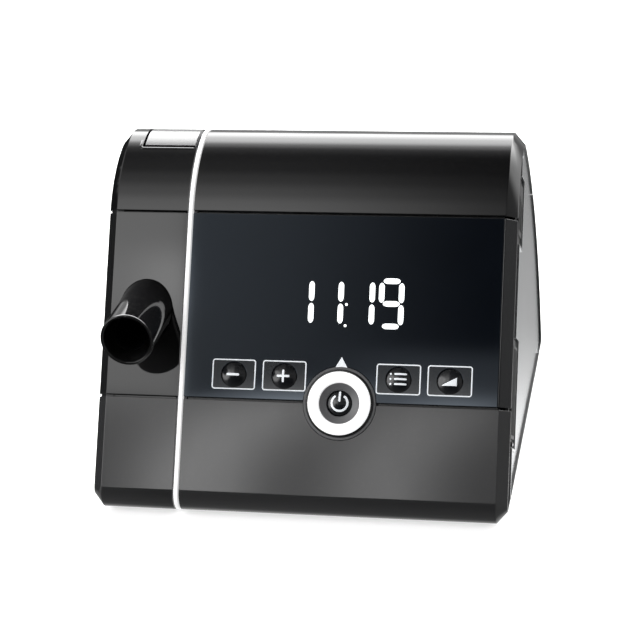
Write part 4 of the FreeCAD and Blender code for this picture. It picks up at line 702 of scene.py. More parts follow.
def on_panel(x, rise, lift=0.0):
    return PANEL_FOOT + (Vector((x, 0, 0)) + PANEL_RISE * rise + PANEL_OUT * lift) * MM


def on_case(x, run, lift=0.0):
    spot = on_panel(x, min(run, PANEL_FLAT))
    facing = math.pi - PANEL_LEAN
    left = max(run - PANEL_FLAT, 0.0)
    for radius, turn in CASE_BENDS:
        step = min(left / radius, math.radians(turn))
        spot += (facing_way(facing - step) - facing_way(facing)) * radius * MM
        facing -= step
        left -= step * radius
    return spot + facing_way(facing) * lift * MM


print("panel foot", tuple(PANEL_FOOT), "top of the case", round(on_case(0, TOP_RUN).z / MM, 2))

# %% [markdown]
# ## Rounding the edges
# Moulded covers have no knife edges: the mould leaves a small radius, and that radius is
# what draws the thin bright line along every seam. Each solid is copied, its loose triangles
# are merged into one skin, flat neighbours are joined into whole faces, and a small bevel
# runs round the sharp edges.
#
# Gloss shows every fault of the shading. A face of the rolled case is a long strip, and a
# slot cut into it would pull the shading into streaks. The bends of the case are known, so
# each face is told its true direction: straight out for a wide flat one, away from the
# middle of its bend for a rolled one. The narrow edge faces then blend between them.

# %% Skins of the solids
FLAT = math.radians(0.4)
MERGE = 2e-6


def merged_skin(node):
    skin = bmesh.new()
    skin.from_mesh(nodes[node].data)
    bmesh.ops.remove_doubles(skin, verts=skin.verts, dist=MERGE)
    bmesh.ops.dissolve_limit(skin, angle_limit=FLAT, verts=skin.verts, edges=skin.edges)
    mesh = bpy.data.meshes.new(node + "_skin")
    skin.to_mesh(mesh)
    skin.free()
    return mesh


# %% The true direction of the rolled case
ROLL_REACH = 8.0


def case_rolls():
    """The middle, radius, and first and last facing of each bend of the case."""
    rolls = []
    facing = math.pi - PANEL_LEAN
    start = on_case(0, PANEL_FLAT)
    for radius, turn in CASE_BENDS:
        middle = start - facing_way(facing) * radius * MM
        last = facing - math.radians(turn)
        rolls.append((middle, radius * MM, facing, last))
        start, facing = middle + facing_way(last) * radius * MM, last
    return rolls


CASE_ROLLS = case_rolls()
print("bends of the case end at", [round(math.degrees(last)) for *_, last in CASE_ROLLS])


def rolled_way(spot):
    for middle, radius, first, last in CASE_ROLLS:
        spoke = Vector((0, spot.y - middle.y, spot.z - middle.z))
        near = abs(spoke.length - radius) < ROLL_REACH * MM
        if near and last <= math.atan2(spoke.z, spoke.y) <= first:
            return spoke.normalized()
    return None


# %% Which faces are wide, flat or rolled
STEP_LEAST, STEP_MOST = math.cos(math.radians(0.3)), math.cos(math.radians(12.0))
NEAR_WAY = math.cos(math.radians(3.0))
NARROW_SHARE = 0.25


def face_width(mesh, face):
    spots = [mesh.vertices[i].co for i in face.vertices]
    return face.area / max((a - b).length for a, b in zip(spots, spots[1:] + spots[:1]))


def is_flat(face, neighbours, mesh):
    steps = [face.normal.dot(mesh.polygons[i].normal) for i in neighbours]
    return not any(STEP_MOST < step < STEP_LEAST for step in steps)


def wide_neighbours(mesh, widths):
    """The neighbours of each wide face, without those that are narrow beside it."""
    sides = {}
    for i in widths:
        for key in mesh.polygons[i].edge_keys:
            sides.setdefault(key, []).append(i)
    return {i: {j for key in mesh.polygons[i].edge_keys for j in sides[key]
                if j != i and widths[j] > widths[i] * NARROW_SHARE} for i in widths}


def rolled_ways(mesh, face):
    """The direction at each corner of a face that follows a bend of the case, or None."""
    way = rolled_way(face.center)
    lean = way.dot(face.normal) if way else 0.0
    if abs(lean) < NEAR_WAY:
        return None
    side = 1 if lean > 0 else -1
    return [side * (rolled_way(mesh.vertices[i].co) or way) for i in face.vertices]


# %% Even shading on wide faces
WIDE = 0.8
BLEND_REACH = math.cos(math.radians(50.0))


def even_shading(mesh):
    widths = {face.index: face_width(mesh, face) for face in mesh.polygons}
    widths = {i: width for i, width in widths.items() if width > WIDE * MM}
    neighbours = wide_neighbours(mesh, widths)
    ways = [Vector() for _ in mesh.loops]
    touched = {}
    for face in mesh.polygons:
        found = rolled_ways(mesh, face)
        beside = neighbours.get(face.index)
        if found is None and beside is not None and is_flat(face, beside, mesh):
            found = [face.normal.copy() for _ in face.vertices]
        for loop, corner, way in zip(face.loop_indices, face.vertices, found or ()):
            ways[loop] = way
            touched.setdefault(corner, []).append(way)
    for face in mesh.polygons:
        for loop, corner in zip(face.loop_indices, face.vertices):
            if not ways[loop].length and corner in touched:
                near = max(touched[corner], key=face.normal.dot)
                if near.dot(face.normal) > BLEND_REACH:
                    ways[loop] = near
    mesh.normals_split_custom_set(ways)
    return mesh


# %% From modifiers to a plain piece
SHARP = math.radians(28.0)


def carrier_of(mesh):
    carrier = bpy.data.objects.new("carrier", mesh)
    bpy.context.scene.collection.objects.link(carrier)
    return carrier


def baked(carrier):
    """The plain mesh that a carrier's modifiers make. The carrier is taken away."""
    ready = bpy.context.evaluated_depsgraph_get()
    mesh = bpy.data.meshes.new_from_object(carrier.evaluated_get(ready), depsgraph=ready)
    carrier.modifiers.clear()
    bpy.data.objects.remove(carrier)
    return mesh


def smooth(mesh):
    mesh.shade_smooth()
    mesh.set_sharp_from_angle(angle=SHARP)
    return mesh


# %% Putting a piece in the scene
def body_of(node):
    return nodes[node].parent.name.split(":")[1]


def show(mesh, name, body, finish, slot, *replaced):
    """Puts a finished mesh in the scene as a piece that rides on a body."""
    mesh.materials.clear()
    mesh.materials.append(finish)
    piece = bpy.data.objects.new(name, mesh)
    bpy.context.scene.collection.objects.link(piece)
    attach(piece, body)
    if replaced:
        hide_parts(*replaced)
    return piece


print("bodies:", sorted({body_of(node) for node in nodes}))

# %% Soft copies of the solids
EDGE_STEPS = 3


def soften(node, radius):
    block = carrier_of(merged_skin(node))
    bevel = block.modifiers.new("edges", "BEVEL")
    bevel.width = radius * MM
    bevel.segments = EDGE_STEPS
    bevel.limit_method = "ANGLE"
    bevel.angle_limit = SHARP
    bevel.miter_outer = "MITER_ARC"
    mesh = even_shading(smooth(baked(block)))
    return show(mesh, node + "_skin", body_of(node), finish_of[node], slot_of[node], node)


SOFT_EDGES = {
    "lower_cover": 0.35, "column_lower_cover": 0.35, "base_plate": 0.3, "rear_cover": 0.3,
    "column_rear_cover": 0.3, "top_cover": 0.35, "column_top_cover": 0.35, "filter_lid": 0.3,
    "outlet_panel": 0.35, "display_window": 0.25, "display_frame": 0.25, "side_cover_right": 0.2,
    "side_cover_left": 0.2, "side_grips": 0.25, "power_dish": 0.2,
    "power_key": 0.2, "key_minus": 0.15, "key_plus": 0.15, "key_menu": 0.15, "key_ramp": 0.15,
    "mains_inlet": 0.25, "data_socket": 0.15, "filter_tray": 0.2, "memory_card": 0.2,
}
for node, radius in SOFT_EDGES.items():
    soften(node, radius)
print("softened:", len(SOFT_EDGES))

# %% [markdown]
# ## Node trees as tools
# Pieces that repeat, or that follow a path, are grown by Geometry Nodes. Each tree is a small
# tool with named sizes. It gets a few points or a path, grows the piece from them, and ends
# in Realize Instances and Set Material. The result is then kept as a plain mesh, so nothing
# is left to work out later.

# %% Building and running a node tree
GEOMETRY = "NodeSocketGeometry"
FINISH = "NodeSocketMaterial"


def start_tree(name, **sizes):
    tree = bpy.data.node_groups.new(name, "GeometryNodeTree")
    tree.interface.new_socket("Geometry", in_out="INPUT", socket_type=GEOMETRY)
    add_sizes(tree, sizes)
    tree.interface.new_socket("Finish", in_out="INPUT", socket_type=FINISH)
    tree.interface.new_socket("Geometry", in_out="OUTPUT", socket_type=GEOMETRY)
    return tree, add(tree, "NodeGroupInput").outputs


def end_tree(tree, geometry, given):
    real = add(tree, "GeometryNodeRealizeInstances", {"Geometry": geometry}).outputs[0]
    dressed = add(tree, "GeometryNodeSetMaterial", {"Geometry": real, "Material": given["Finish"]})
    add(tree, "NodeGroupOutput", {0: dressed.outputs[0]})
    return tree


def grow(tree, seed, **sizes):
    """Runs the tree on the seed mesh and gives back a plain mesh."""
    carrier = carrier_of(seed)
    modifier = carrier.modifiers.new("grow", "NODES")
    modifier.node_group = tree
    for item in tree.interface.items_tree:
        if item.in_out == "INPUT" and item.name in sizes:
            modifier[item.identifier] = sizes[item.name]
    return baked(carrier)


# %% Seeds for the trees
def plain_mesh(points, edges=(), faces=()):
    mesh = bpy.data.meshes.new("plain")
    mesh.from_pydata([tuple(point) for point in points], edges, faces)
    return mesh


def path_mesh(*paths):
    """Any number of separate paths in one mesh."""
    points, edges = [], []
    for path in paths:
        first = len(points)
        points += path
        edges += [(first + i, first + i + 1) for i in range(len(path) - 1)]
    return plain_mesh(points, edges)


def steps(low, high, count):
    return [low + (high - low) * i / count for i in range(count + 1)]


def outward(mesh):
    """Merges doubles and turns every face of a closed skin outwards."""
    skin = bmesh.new()
    skin.from_mesh(mesh)
    bmesh.ops.remove_doubles(skin, verts=skin.verts, dist=MERGE)
    bmesh.ops.recalc_face_normals(skin, faces=skin.faces)
    skin.to_mesh(mesh)
    skin.free()
    return mesh


# %% [markdown]
# ## The white strip
# A bright strip runs in a groove round the whole case and parts the column from the bay. It
# could be cut from a plate, but a strip is a small section drawn along a path, so the tree
# sweeps a rounded bar along the outline of the case and keeps its width level on the way.

# %% A bar swept along a path
def rounded_box(tree, width, height, corner, count):
    box = add(tree, "GeometryNodeCurvePrimitiveQuadrilateral", {0: width, 1: height})
    sizes = {"Curve": box.outputs[0], "Radius": corner, "Count": count}
    return add(tree, "GeometryNodeFilletCurve", sizes, mode="POLY").outputs[0]


def build_swept_bar():
    tree, given = start_tree("swept_bar", Width=0.002, Depth=0.003, Corner=0.0003)
    path = add(tree, "GeometryNodeMeshToCurve", {"Mesh": given["Geometry"]}).outputs[0]
    level = add(tree, "GeometryNodeSetCurveNormal", {"Curve": path, "Normal": (1.0, 0.0, 0.0)},
                mode="FREE")
    section = rounded_box(tree, given["Width"], given["Depth"], given["Corner"], 3)
    swept = add(tree, "GeometryNodeCurveToMesh",
                {"Curve": level.outputs[0], "Profile Curve": section, "Fill Caps": True})
    return end_tree(tree, swept.outputs[0], given)


SWEPT_BAR = build_swept_bar()
print("swept bar, nodes:", len(SWEPT_BAR.nodes))


def sweep(paths, name, finish, slot, width, depth, corner, *replaced):
    mesh = smooth(outward(grow(SWEPT_BAR, path_mesh(*paths), Width=width * MM,
                               Depth=depth * MM, Corner=corner * MM, Finish=finish)))
    piece = show(mesh, name, "casing", finish, slot, *replaced)
    print(name, "faces:", len(mesh.polygons))
    return piece


# %% Sweep the strip
# The strip's finish glows a little, which is painted light: the strip is no lamp.
STRIP_WIDTH, STRIP_DEPTH, STRIP_CORNER = 1.7, 3.0, 0.3
STRIP_STEP = 1.2
NOSE_ROUND, NOSE_TURNS = 8.0, range(270, 149, -8)
HEEL_ROUND, HEEL_STEPS = 7.5, 10
HEEL_MIDDLE = Vector((0, 81.8171, 9.0)) * MM
back_middle = CASE_ROLLS[2][0]
BACK_END = math.atan2(HEEL_MIDDLE.z - back_middle.z, HEEL_MIDDLE.y - back_middle.y)


def case_outline(x, lift):
    """The case's own outline from its foot, over the nose and the back, to the heel."""
    across = Vector((x * MM, 0, 0))
    nose = PANEL_FOOT + Vector((0, NOSE_ROUND / math.tan(PANEL_LEAN), NOSE_ROUND)) * MM
    points = [nose + across + facing_way(math.radians(angle)) * (NOSE_ROUND + lift) * MM
              for angle in NOSE_TURNS]
    run = PANEL_FLAT
    while on_case(x, run, 0.0).z > HEEL_MIDDLE.z + HEEL_ROUND * MM * math.sin(BACK_END):
        points.append(on_case(x, run, lift))
        run += STRIP_STEP
    return points + [HEEL_MIDDLE + across + facing_way(angle) * (HEEL_ROUND + lift) * MM
                     for angle in steps(BACK_END, -math.pi / 2, HEEL_STEPS)]


strip_x = (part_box("trim_strip")[0].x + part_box("trim_strip")[1].x) / 2 / MM
strip_path = case_outline(strip_x, -STRIP_DEPTH / 2)
sweep([strip_path], "white_strip", TRIM_PAINTED_GLOW, "trim_white", STRIP_WIDTH, STRIP_DEPTH,
      STRIP_CORNER, "trim_strip")
print("path points:", len(strip_path))

# %% [markdown]
# ## Painted shade in the left seams
# Where two covers of the column meet, a thin dark sheet lies in the gap at the left rim.
# It is painted shade that keeps the corner of the seam black up to the end's bevel. It
# follows the end's bevel a little below the surface, and the shadow line above it stays.

# %% Sheets of painted shade in the seams
LOW_SEAM, HIGH_SEAM = 51.6, 129.0
SHADE_SHEET_WALL = 0.9
SHADE_SHEET_SIDES = ((-85.1, -14.0), (-85.1, -5.3), (-82.2, -2.0), (-79.0, -2.0), (-79.0, -14.0))


# Each sheet is painted shade: a dark slab lying where the seam's shadow falls.
def seam_tongues(rises):
    spots, faces = [], []
    count = len(SHADE_SHEET_SIDES)
    for rise in rises:
        first = len(spots)
        spots += [on_panel(x, rise + side, lift) for side in (-SHADE_SHEET_WALL / 2, SHADE_SHEET_WALL / 2)
                  for x, lift in SHADE_SHEET_SIDES]
        low, high = [[first + start + i for i in range(count)] for start in (0, count)]
        faces += [low, high[::-1]]
        faces += [(low[i - 1], low[i], high[i], high[i - 1]) for i in range(count)]
    mesh = outward(plain_mesh(spots, faces=faces))
    return show(mesh, "seam_tongues", "casing", FRAME_BLACK, "frame_black")


# Painted shade in the two seams of the column.
shade_sheets = seam_tongues((LOW_SEAM, HIGH_SEAM))
print("shade_sheet faces:", len(shade_sheets.data.polygons))

# %% [markdown]
# ## Turned pieces
# The outlet tube, the ring round the power key, the peg's cap and the feet are round about
# one axis. A lathe makes such a piece from half of its outline, and so does this tree: it
# lays a grid whose rows are the points of the outline, and bends every row into a circle. A
# spin in mesh code would do too, but the tree keeps the number of steps as a size that can be
# changed later.

# %% A lathe in nodes
WHOLE_MATHS = "FunctionNodeIntegerMath"


def build_lathe():
    tree, given = start_tree("lathe", Steps=64)
    outline = given["Geometry"]
    count = add(tree, "GeometryNodeAttributeDomainSize", {"Geometry": outline}).outputs["Point Count"]
    columns = maths(tree, "ADD", given["Steps"], 1, kind=WHOLE_MATHS)
    grid = add(tree, "GeometryNodeMeshGrid", {"Vertices X": columns, "Vertices Y": count})
    index = add(tree, "GeometryNodeInputIndex").outputs[0]
    row = maths(tree, "MODULO", index, count, kind=WHOLE_MATHS)
    column = maths(tree, "DIVIDE_FLOOR", index, count, kind=WHOLE_MATHS)
    place = add(tree, "GeometryNodeInputPosition").outputs[0]
    point = add(tree, "GeometryNodeSampleIndex",
                {"Geometry": outline, "Value": place, "Index": row}, data_type="FLOAT_VECTOR")
    parts = add(tree, "ShaderNodeSeparateXYZ", {0: point.outputs["Value"]}).outputs
    part_turn = maths(tree, "DIVIDE", column, given["Steps"])
    angle = maths(tree, "MULTIPLY", part_turn, 2 * math.pi)
    circle = add(tree, "ShaderNodeCombineXYZ", {
        0: maths(tree, "MULTIPLY", parts[0], maths(tree, "COSINE", angle)),
        1: maths(tree, "MULTIPLY", parts[0], maths(tree, "SINE", angle)),
        2: parts[2],
    })
    bent = add(tree, "GeometryNodeSetPosition",
               {"Geometry": grid.outputs[0], "Position": circle.outputs[0]})
    joined = add(tree, "GeometryNodeMergeByDistance",
                 {"Geometry": bent.outputs[0], "Distance": MERGE})
    return end_tree(tree, joined.outputs[0], given)


LATHE = build_lathe()
print("lathe, nodes:", len(LATHE.nodes))


def turned(outline, steps_round, finish, place):
    """Turns (radius, along) points in mm about the Z axis of the place matrix."""
    seed = path_mesh([(radius * MM, 0, along * MM) for radius, along in outline])
    mesh = outward(grow(LATHE, seed, Steps=steps_round, Finish=finish))
    mesh.transform(place)
    return smooth(mesh)


# %% [markdown]
# ## The outlet tube
# A hose slips over the free end, so the mouth has a smooth lip with a fine groove between
# two rounded rims, and a shallow step stops the hose. Bevels on the solid's edges can't give
# such a groove, so the whole tube is turned again from a finer outline.

# %% The outlet tube
TUBE_MOUTH = Vector((-66.6, -81.98, 77.0)) * MM
TUBE_OUTLINE = (
    (9.5, 40.0), (9.5, 1.1), (9.56, 0.55), (9.72, 0.18), (9.92, 0.02), (10.08, 0.06),
    (10.16, 0.24), (10.22, 0.42), (10.32, 0.42), (10.38, 0.24), (10.46, 0.06), (10.6, 0.0),
    (10.8, 0.1), (10.93, 0.34), (11.0, 0.8), (11.0, 1.1), (11.0, 22.3), (11.05, 24.0),
    (11.15, 26.0), (11.25, 28.0), (11.3, 30.0), (11.3, 46.0), (11.8, 46.0), (11.9, 46.1),
    (11.9, 48.0), (10.1, 48.0), (10.1, 42.0), (9.5, 40.0),
)
ROUND_STEPS = 96
tube_place = Matrix.Translation(TUBE_MOUTH) @ Matrix.Rotation(-math.pi / 2, 4, "X")
tube = turned(TUBE_OUTLINE, ROUND_STEPS, TUBE_BLACK, tube_place)
show(tube, "hose_tube", "casing", TUBE_BLACK, "tube_black", "outlet_tube")
print("tube faces:", len(tube.polygons))

# %% [markdown]
# ## The power key's ring
# The ring is white only on top. Its outer edge is a dark rim, partly a dark edge of the ring
# and partly painted shade where the ring stands off the case, so that the white looks cut out
# of the case. One ring with two finishes would need a border painted to a hair, so face and
# rim are turned apart, both about the line that the key moves on.

# %% The power key's ring
RING_BORE, RING_WHITE, RING_EDGE = 8.4, 12.95, 13.9
RING_FOOT, RING_TOP = 0.4, 1.8
WHITE_OUTLINE = (
    (RING_BORE, RING_FOOT), (RING_BORE, RING_TOP - 0.3), (RING_BORE + 0.1, RING_TOP - 0.1),
    (RING_BORE + 0.3, RING_TOP), (RING_WHITE - 0.3, RING_TOP), (RING_WHITE - 0.08, RING_TOP - 0.08),
    (RING_WHITE, RING_TOP - 0.3), (RING_WHITE, RING_FOOT), (RING_BORE, RING_FOOT),
)
# The dark rim is partly painted shade round the foot of the ring.
SHADE_RIM_OUTLINE = (
    (RING_WHITE, RING_FOOT), (RING_WHITE, RING_TOP - 0.45), (RING_EDGE - 0.5, RING_TOP - 0.5),
    (RING_EDGE - 0.12, RING_TOP - 0.8), (RING_EDGE, RING_TOP - 1.1), (RING_EDGE, RING_FOOT),
    (RING_WHITE, RING_FOOT),
)
POWER_SPOT = (16.725, 51.4)
PANEL_TURN = Matrix((Vector((1, 0, 0)), PANEL_RISE, PANEL_OUT)).transposed().to_4x4()
ring_place = Matrix.Translation(on_panel(*POWER_SPOT)) @ PANEL_TURN
for name, outline, finish, slot in (("ring_face", WHITE_OUTLINE, TRIM_PAINTED_GLOW, "trim_white"),
                                    ("ring_rim", SHADE_RIM_OUTLINE, FRAME_BLACK, "frame_black")):
    part = turned(outline, ROUND_STEPS, finish, ring_place)
    show(part, name, body_of("power_ring"), finish, slot, "power_ring")
    print(name, "faces:", len(part.polygons))

# %% [markdown]
# ## The peg's cap
# At the foot of the lower grip on the right end stands a small peg with a bright round head.
# The solid's peg ends flat and shares the grip's dark finish. A bevel could round it but not
# make it steel, so a cap of its own is turned to a low dome that catches the light.

# %% The peg's steel cap
PEG_SPOT = on_panel(85.78, 38.5, -20.5)
PEG_OUTLINE = ((0.0, 0.12), (0.35, 0.1), (0.68, 0.02), (0.9, -0.12), (1.02, -0.34),
               (1.02, -1.2), (0.0, -1.2))
PEG_STEPS = 32
peg_place = Matrix.Translation(PEG_SPOT) @ Matrix.Rotation(math.pi / 2, 4, "Y")
cap = turned(PEG_OUTLINE, PEG_STEPS, BRIGHT_STEEL, peg_place)
show(cap, "peg_cap", "casing", BRIGHT_STEEL, "steel")
print("peg cap at", [round(value / MM, 1) for value in PEG_SPOT])

# %% [markdown]
# ## Feet and their rings
# Each rubber foot has a rounded rim and three rings that grip the table. One foot is turned
# on the lathe, and a second tree sets it out on the four spots, which is how a repeated
# piece is best kept the same everywhere.

# %% Set copies out on spots
def on_points(tree, given, piece, **inputs):
    """A copy of the piece on every point of the tree's seed."""
    copies = add(tree, "GeometryNodeInstanceOnPoints",
                 {"Points": given["Geometry"], "Instance": piece, **inputs})
    return copies.outputs[0]


def build_set_out():
    tree, given = start_tree("set_out", Piece=None)
    source = add(tree, "GeometryNodeObjectInfo", {"Object": given["Piece"], "As Instance": True})
    return end_tree(tree, on_points(tree, given, source.outputs["Geometry"]), given)


SET_OUT = build_set_out()
print("set out, nodes:", len(SET_OUT.nodes))


def set_out(mesh, spots, finish):
    pattern = carrier_of(mesh)
    copies = grow(SET_OUT, plain_mesh(spots), Piece=pattern, Finish=finish)
    bpy.data.objects.remove(pattern)
    return copies


# %% Turn a foot and set out four
FOOT_RADIUS, FOOT_HEIGHT, FOOT_STEPS = 7.0, 1.5, 48
FOOT_RIM = ((0.0, 0.35), (0.12, 0.1), (0.4, 0.0))
GRIP_RINGS = (5.6, 3.9, 2.2)
GRIP_GROOVE = ((0.0, 0.0), (0.1, 0.3), (0.6, 0.3), (0.7, 0.0))
foot_outline = [(0.0, FOOT_HEIGHT), (FOOT_RADIUS, FOOT_HEIGHT)]
for radius, profile in ((FOOT_RADIUS, FOOT_RIM), *((ring, GRIP_GROOVE) for ring in GRIP_RINGS)):
    foot_outline += [(radius - inset, height) for inset, height in profile]
foot_outline.append((0.0, 0.0))
foot = turned(foot_outline, FOOT_STEPS, DARK_RUBBER, Matrix.Identity(4))
foot_low, foot_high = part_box("rubber_feet")
foot_spots = [(x, y, 0.0) for x in (foot_low.x + FOOT_RADIUS * MM, foot_high.x - FOOT_RADIUS * MM)
              for y in (foot_low.y + FOOT_RADIUS * MM, foot_high.y - FOOT_RADIUS * MM)]
feet = set_out(foot, foot_spots, DARK_RUBBER)
show(feet, "ringed_feet", "casing", DARK_RUBBER, "rubber_dark", "rubber_feet")
print("feet:", len(foot_spots), "faces:", len(feet.polygons))

# %% [markdown]
# ## The clock
# The time is shown by lamp segments behind the window. All of them are the same long lozenge
# with rounded ends, so a tree draws it once and sets it on points. Each point carries its own
# turn and length as attributes, and the tree reads them by name.

# %% Lamp segments on points
LAMP_CORNERS = 32


def join(tree, *parts):
    whole = add(tree, "GeometryNodeJoinGeometry")
    for part in parts:
        tree.links.new(part, whole.inputs[0])
    return whole.outputs[0]


def thickened(tree, face, height):
    """A flat face made a closed plate of this height."""
    walls = add(tree, "GeometryNodeExtrudeMesh",
                {"Mesh": face, "Offset Scale": height, "Individual": False})
    under = add(tree, "GeometryNodeFlipFaces", {0: face})
    return join(tree, under.outputs[0], walls.outputs[0])


def named(tree, label, kind="FLOAT"):
    reader = add(tree, "GeometryNodeInputNamedAttribute", {"Name": label}, data_type=kind)
    return reader.outputs[0]


def vector(tree, *parts):
    return add(tree, "ShaderNodeCombineXYZ", enumerate(parts)).outputs[0]


def build_lamp_segments():
    tree, given = start_tree("lamp_segments", Width=2.3, Height=0.04, Taper=1.0)
    reach, lean = named(tree, "reach"), named(tree, "lean")
    radius = maths(tree, "MULTIPLY", given["Width"], 0.5)
    disc = add(tree, "GeometryNodeMeshCircle", {"Vertices": LAMP_CORNERS, "Radius": radius},
               fill_type="NGON")
    lozenge = thickened(tree, disc.outputs[0], given["Height"])
    dots = on_points(tree, given, lozenge, Rotation=vector(tree, 0.0, 0.0, lean),
                     Scale=vector(tree, given["Taper"], 1.0, 1.0))
    real = add(tree, "GeometryNodeRealizeInstances", {"Geometry": dots}).outputs[0]
    place = add(tree, "GeometryNodeInputPosition").outputs[0]
    along = vector(tree, maths(tree, "COSINE", lean), maths(tree, "SINE", lean))
    off = maths(tree, "SUBTRACT", place, named(tree, "middle", "FLOAT_VECTOR"), kind=VECTOR_MATHS)
    side = maths(tree, "DOT_PRODUCT", off, along, kind=VECTOR_MATHS)
    ends = maths(tree, "MULTIPLY", given["Width"], given["Taper"])
    half = maths(tree, "MULTIPLY", maths(tree, "SUBTRACT", reach, ends), 0.5)
    push = scaled(tree, along, maths(tree, "MULTIPLY", maths(tree, "SIGN", side), half))
    drawn_out = add(tree, "GeometryNodeSetPosition", {"Geometry": real, "Offset": push})
    return end_tree(tree, drawn_out.outputs[0], given)


LAMP_SEGMENTS = build_lamp_segments()
print("lamp segments, nodes:", len(LAMP_SEGMENTS.nodes))

# %% Set the time
# Each lamp gives its middle across and up the panel, its lean and its reach.
LAMP_WIDTH, LAMP_TAPER, LAMP_HEIGHT = 2.3, 1.7, 0.04
UPRIGHT = math.pi / 2
ROWS = {"high": 97.1, "low": 88.1}
UPRIGHT_REACH, LEVEL_REACH = 8.1, 6.9
LEVEL_X = 36.12
DOT_WIDTH = 1.15
PANEL_FRAME = Matrix.Translation(PANEL_FOOT) @ PANEL_TURN @ Matrix.Scale(MM, 4)
lamps = [(x, rise, UPRIGHT, UPRIGHT_REACH)
         for x in (3.1, 15.3, 28.2, 40.2) for rise in ROWS.values()]
lamps.append((32.05, ROWS["high"], UPRIGHT, UPRIGHT_REACH))
lamps += [(LEVEL_X, rise, 0.0, LEVEL_REACH) for rise in (101.9, 92.6, 83.4)]
dots = [(17.7, 91.9, 0.0, DOT_WIDTH), (17.55, 83.2, 0.0, DOT_WIDTH)]


def light_lamps(rows, width, taper):
    middles = [(x, rise, 0.0) for x, rise, lean, reach in rows]
    seed = plain_mesh(middles)
    for label, column in (("lean", 2), ("reach", 3)):
        values = [row[column] for row in rows]
        seed.attributes.new(label, "FLOAT", "POINT").data.foreach_set("value", values)
    spots = seed.attributes.new("middle", "FLOAT_VECTOR", "POINT")
    spots.data.foreach_set("vector", [value for middle in middles for value in middle])
    mesh = outward(grow(LAMP_SEGMENTS, seed, Width=width, Height=LAMP_HEIGHT, Taper=taper,
                        Finish=LIT_DIGITS))
    mesh.transform(PANEL_FRAME)
    return mesh


show(light_lamps(lamps, LAMP_WIDTH, LAMP_TAPER), "clock_lamps", "casing", LIT_DIGITS, "display_lit")
show(light_lamps(dots, DOT_WIDTH, 1.0), "clock_dots", "casing", LIT_DIGITS, "display_lit")
print("lamps lit:", len(lamps) + len(dots))

# %% [markdown]
# ## Frames round the keys
# Each of the four keys stands in a printed frame on the window: a thin pale line with small
# round corners, and a plate of slightly bluer lacquer inside it with a hole for the key. The
# four are the same, so one tree draws a frame and a second one its plate, on four points.

# %% Frames and plates on points
OUTLINE = {"Width": 17.7, "Height": 11.9, "Corner": 0.9}
FRAME = {**OUTLINE, "Stroke": 0.5, "Lift": 0.06}
PLATE = {**OUTLINE, "Hole": 5.4, "Lift": 0.03}
FRAME_STEPS, HOLE_STEPS = 6, 48


def frame_line(tree, given):
    return rounded_box(tree, given["Width"], given["Height"], given["Corner"], FRAME_STEPS)


def build_key_frame():
    tree, given = start_tree("key_frame", **FRAME)
    pen = add(tree, "GeometryNodeCurvePrimitiveQuadrilateral",
              {0: given["Stroke"], 1: given["Lift"]}).outputs[0]
    line = add(tree, "GeometryNodeCurveToMesh",
               {"Curve": frame_line(tree, given), "Profile Curve": pen, "Fill Caps": False})
    return end_tree(tree, on_points(tree, given, line.outputs[0]), given)


def build_key_plate():
    tree, given = start_tree("key_plate", **PLATE)
    hole = add(tree, "GeometryNodeCurvePrimitiveCircle",
               {"Resolution": HOLE_STEPS, "Radius": given["Hole"]})
    both = join(tree, frame_line(tree, given), hole.outputs[0])
    face = add(tree, "GeometryNodeFillCurve", {"Curve": both}).outputs[0]
    plate = thickened(tree, face, given["Lift"])
    return end_tree(tree, on_points(tree, given, plate), given)


KEY_FRAME, KEY_PLATE = build_key_frame(), build_key_plate()
print("key frame, nodes:", len(KEY_FRAME.nodes), "key plate, nodes:", len(KEY_PLATE.nodes))

# %% Print the frames and plates
KEY_RISE = 61.6
KEY_X = {"key_minus": -27.775, "key_plus": -6.675, "key_menu": 40.425, "key_ramp": 61.325}
FRAME_RISE = 61.95
key_spots = [(x, FRAME_RISE, 0.0) for x in KEY_X.values()]


def print_on_panel(tree, sizes, name, finish, slot, seat):
    mesh = grow(tree, plain_mesh(key_spots), **sizes, Finish=finish)
    mesh.transform(PANEL_FRAME @ Matrix.Translation((0, 0, seat)))
    show(outward(mesh), name, "casing", finish, slot)
    print(name, "faces:", len(mesh.polygons))


print_on_panel(KEY_FRAME, FRAME, "key_frames", PRINT_PAINTED_GLOW, "trim_white", 0.01)
print_on_panel(KEY_PLATE, PLATE, "key_plates", PRINTED_PLATE, "smoked_window", -0.01)

# %% [markdown]
# ## Signs on the keys
# The signs are printed on domes, so a flat sign would float at its ends. Each stroke is a
# strip of small faces whose points are dropped on the ball that the dome is cut from, with
# a little thickness, and the whole sign rides with its key.

# %% A closed thin sheet over rows of points
def slab(rows, place, thickness):
    """Rows of (x, rise, lift) points made a closed sheet of a given thickness."""
    count = len(rows[0])
    total = count * len(rows)
    points = [place(x, rise, lift - drop) for drop in (0.0, thickness)
              for row in rows for x, rise, lift in row]
    faces = []
    for i in range(len(rows) - 1):
        for j in range(count - 1):
            a = i * count + j
            quad = (a, a + 1, a + count + 1, a + count)
            faces += [quad, tuple(index + total for index in reversed(quad))]
        for j in (0, count - 1):
            a = i * count + j
            faces.append((a, a + count, a + count + total, a + total))
    for i in (0, len(rows) - 1):
        for j in range(count - 1):
            a = i * count + j
            faces.append((a, a + 1, a + 1 + total, a + total))
    return outward(plain_mesh(points, faces=faces))


def joined(meshes):
    whole = bmesh.new()
    for mesh in meshes:
        whole.from_mesh(mesh)
    mesh = bpy.data.meshes.new("joined")
    whole.to_mesh(mesh)
    whole.free()
    return smooth(mesh)


# %% Strokes of a sign
# Every shape is rows of (x, rise) points, with a few points in each row.
STROKE_STEPS, STROKE_COLUMNS = 16, 4
BOW_STEPS = 48
WEDGE_STEPS = 12


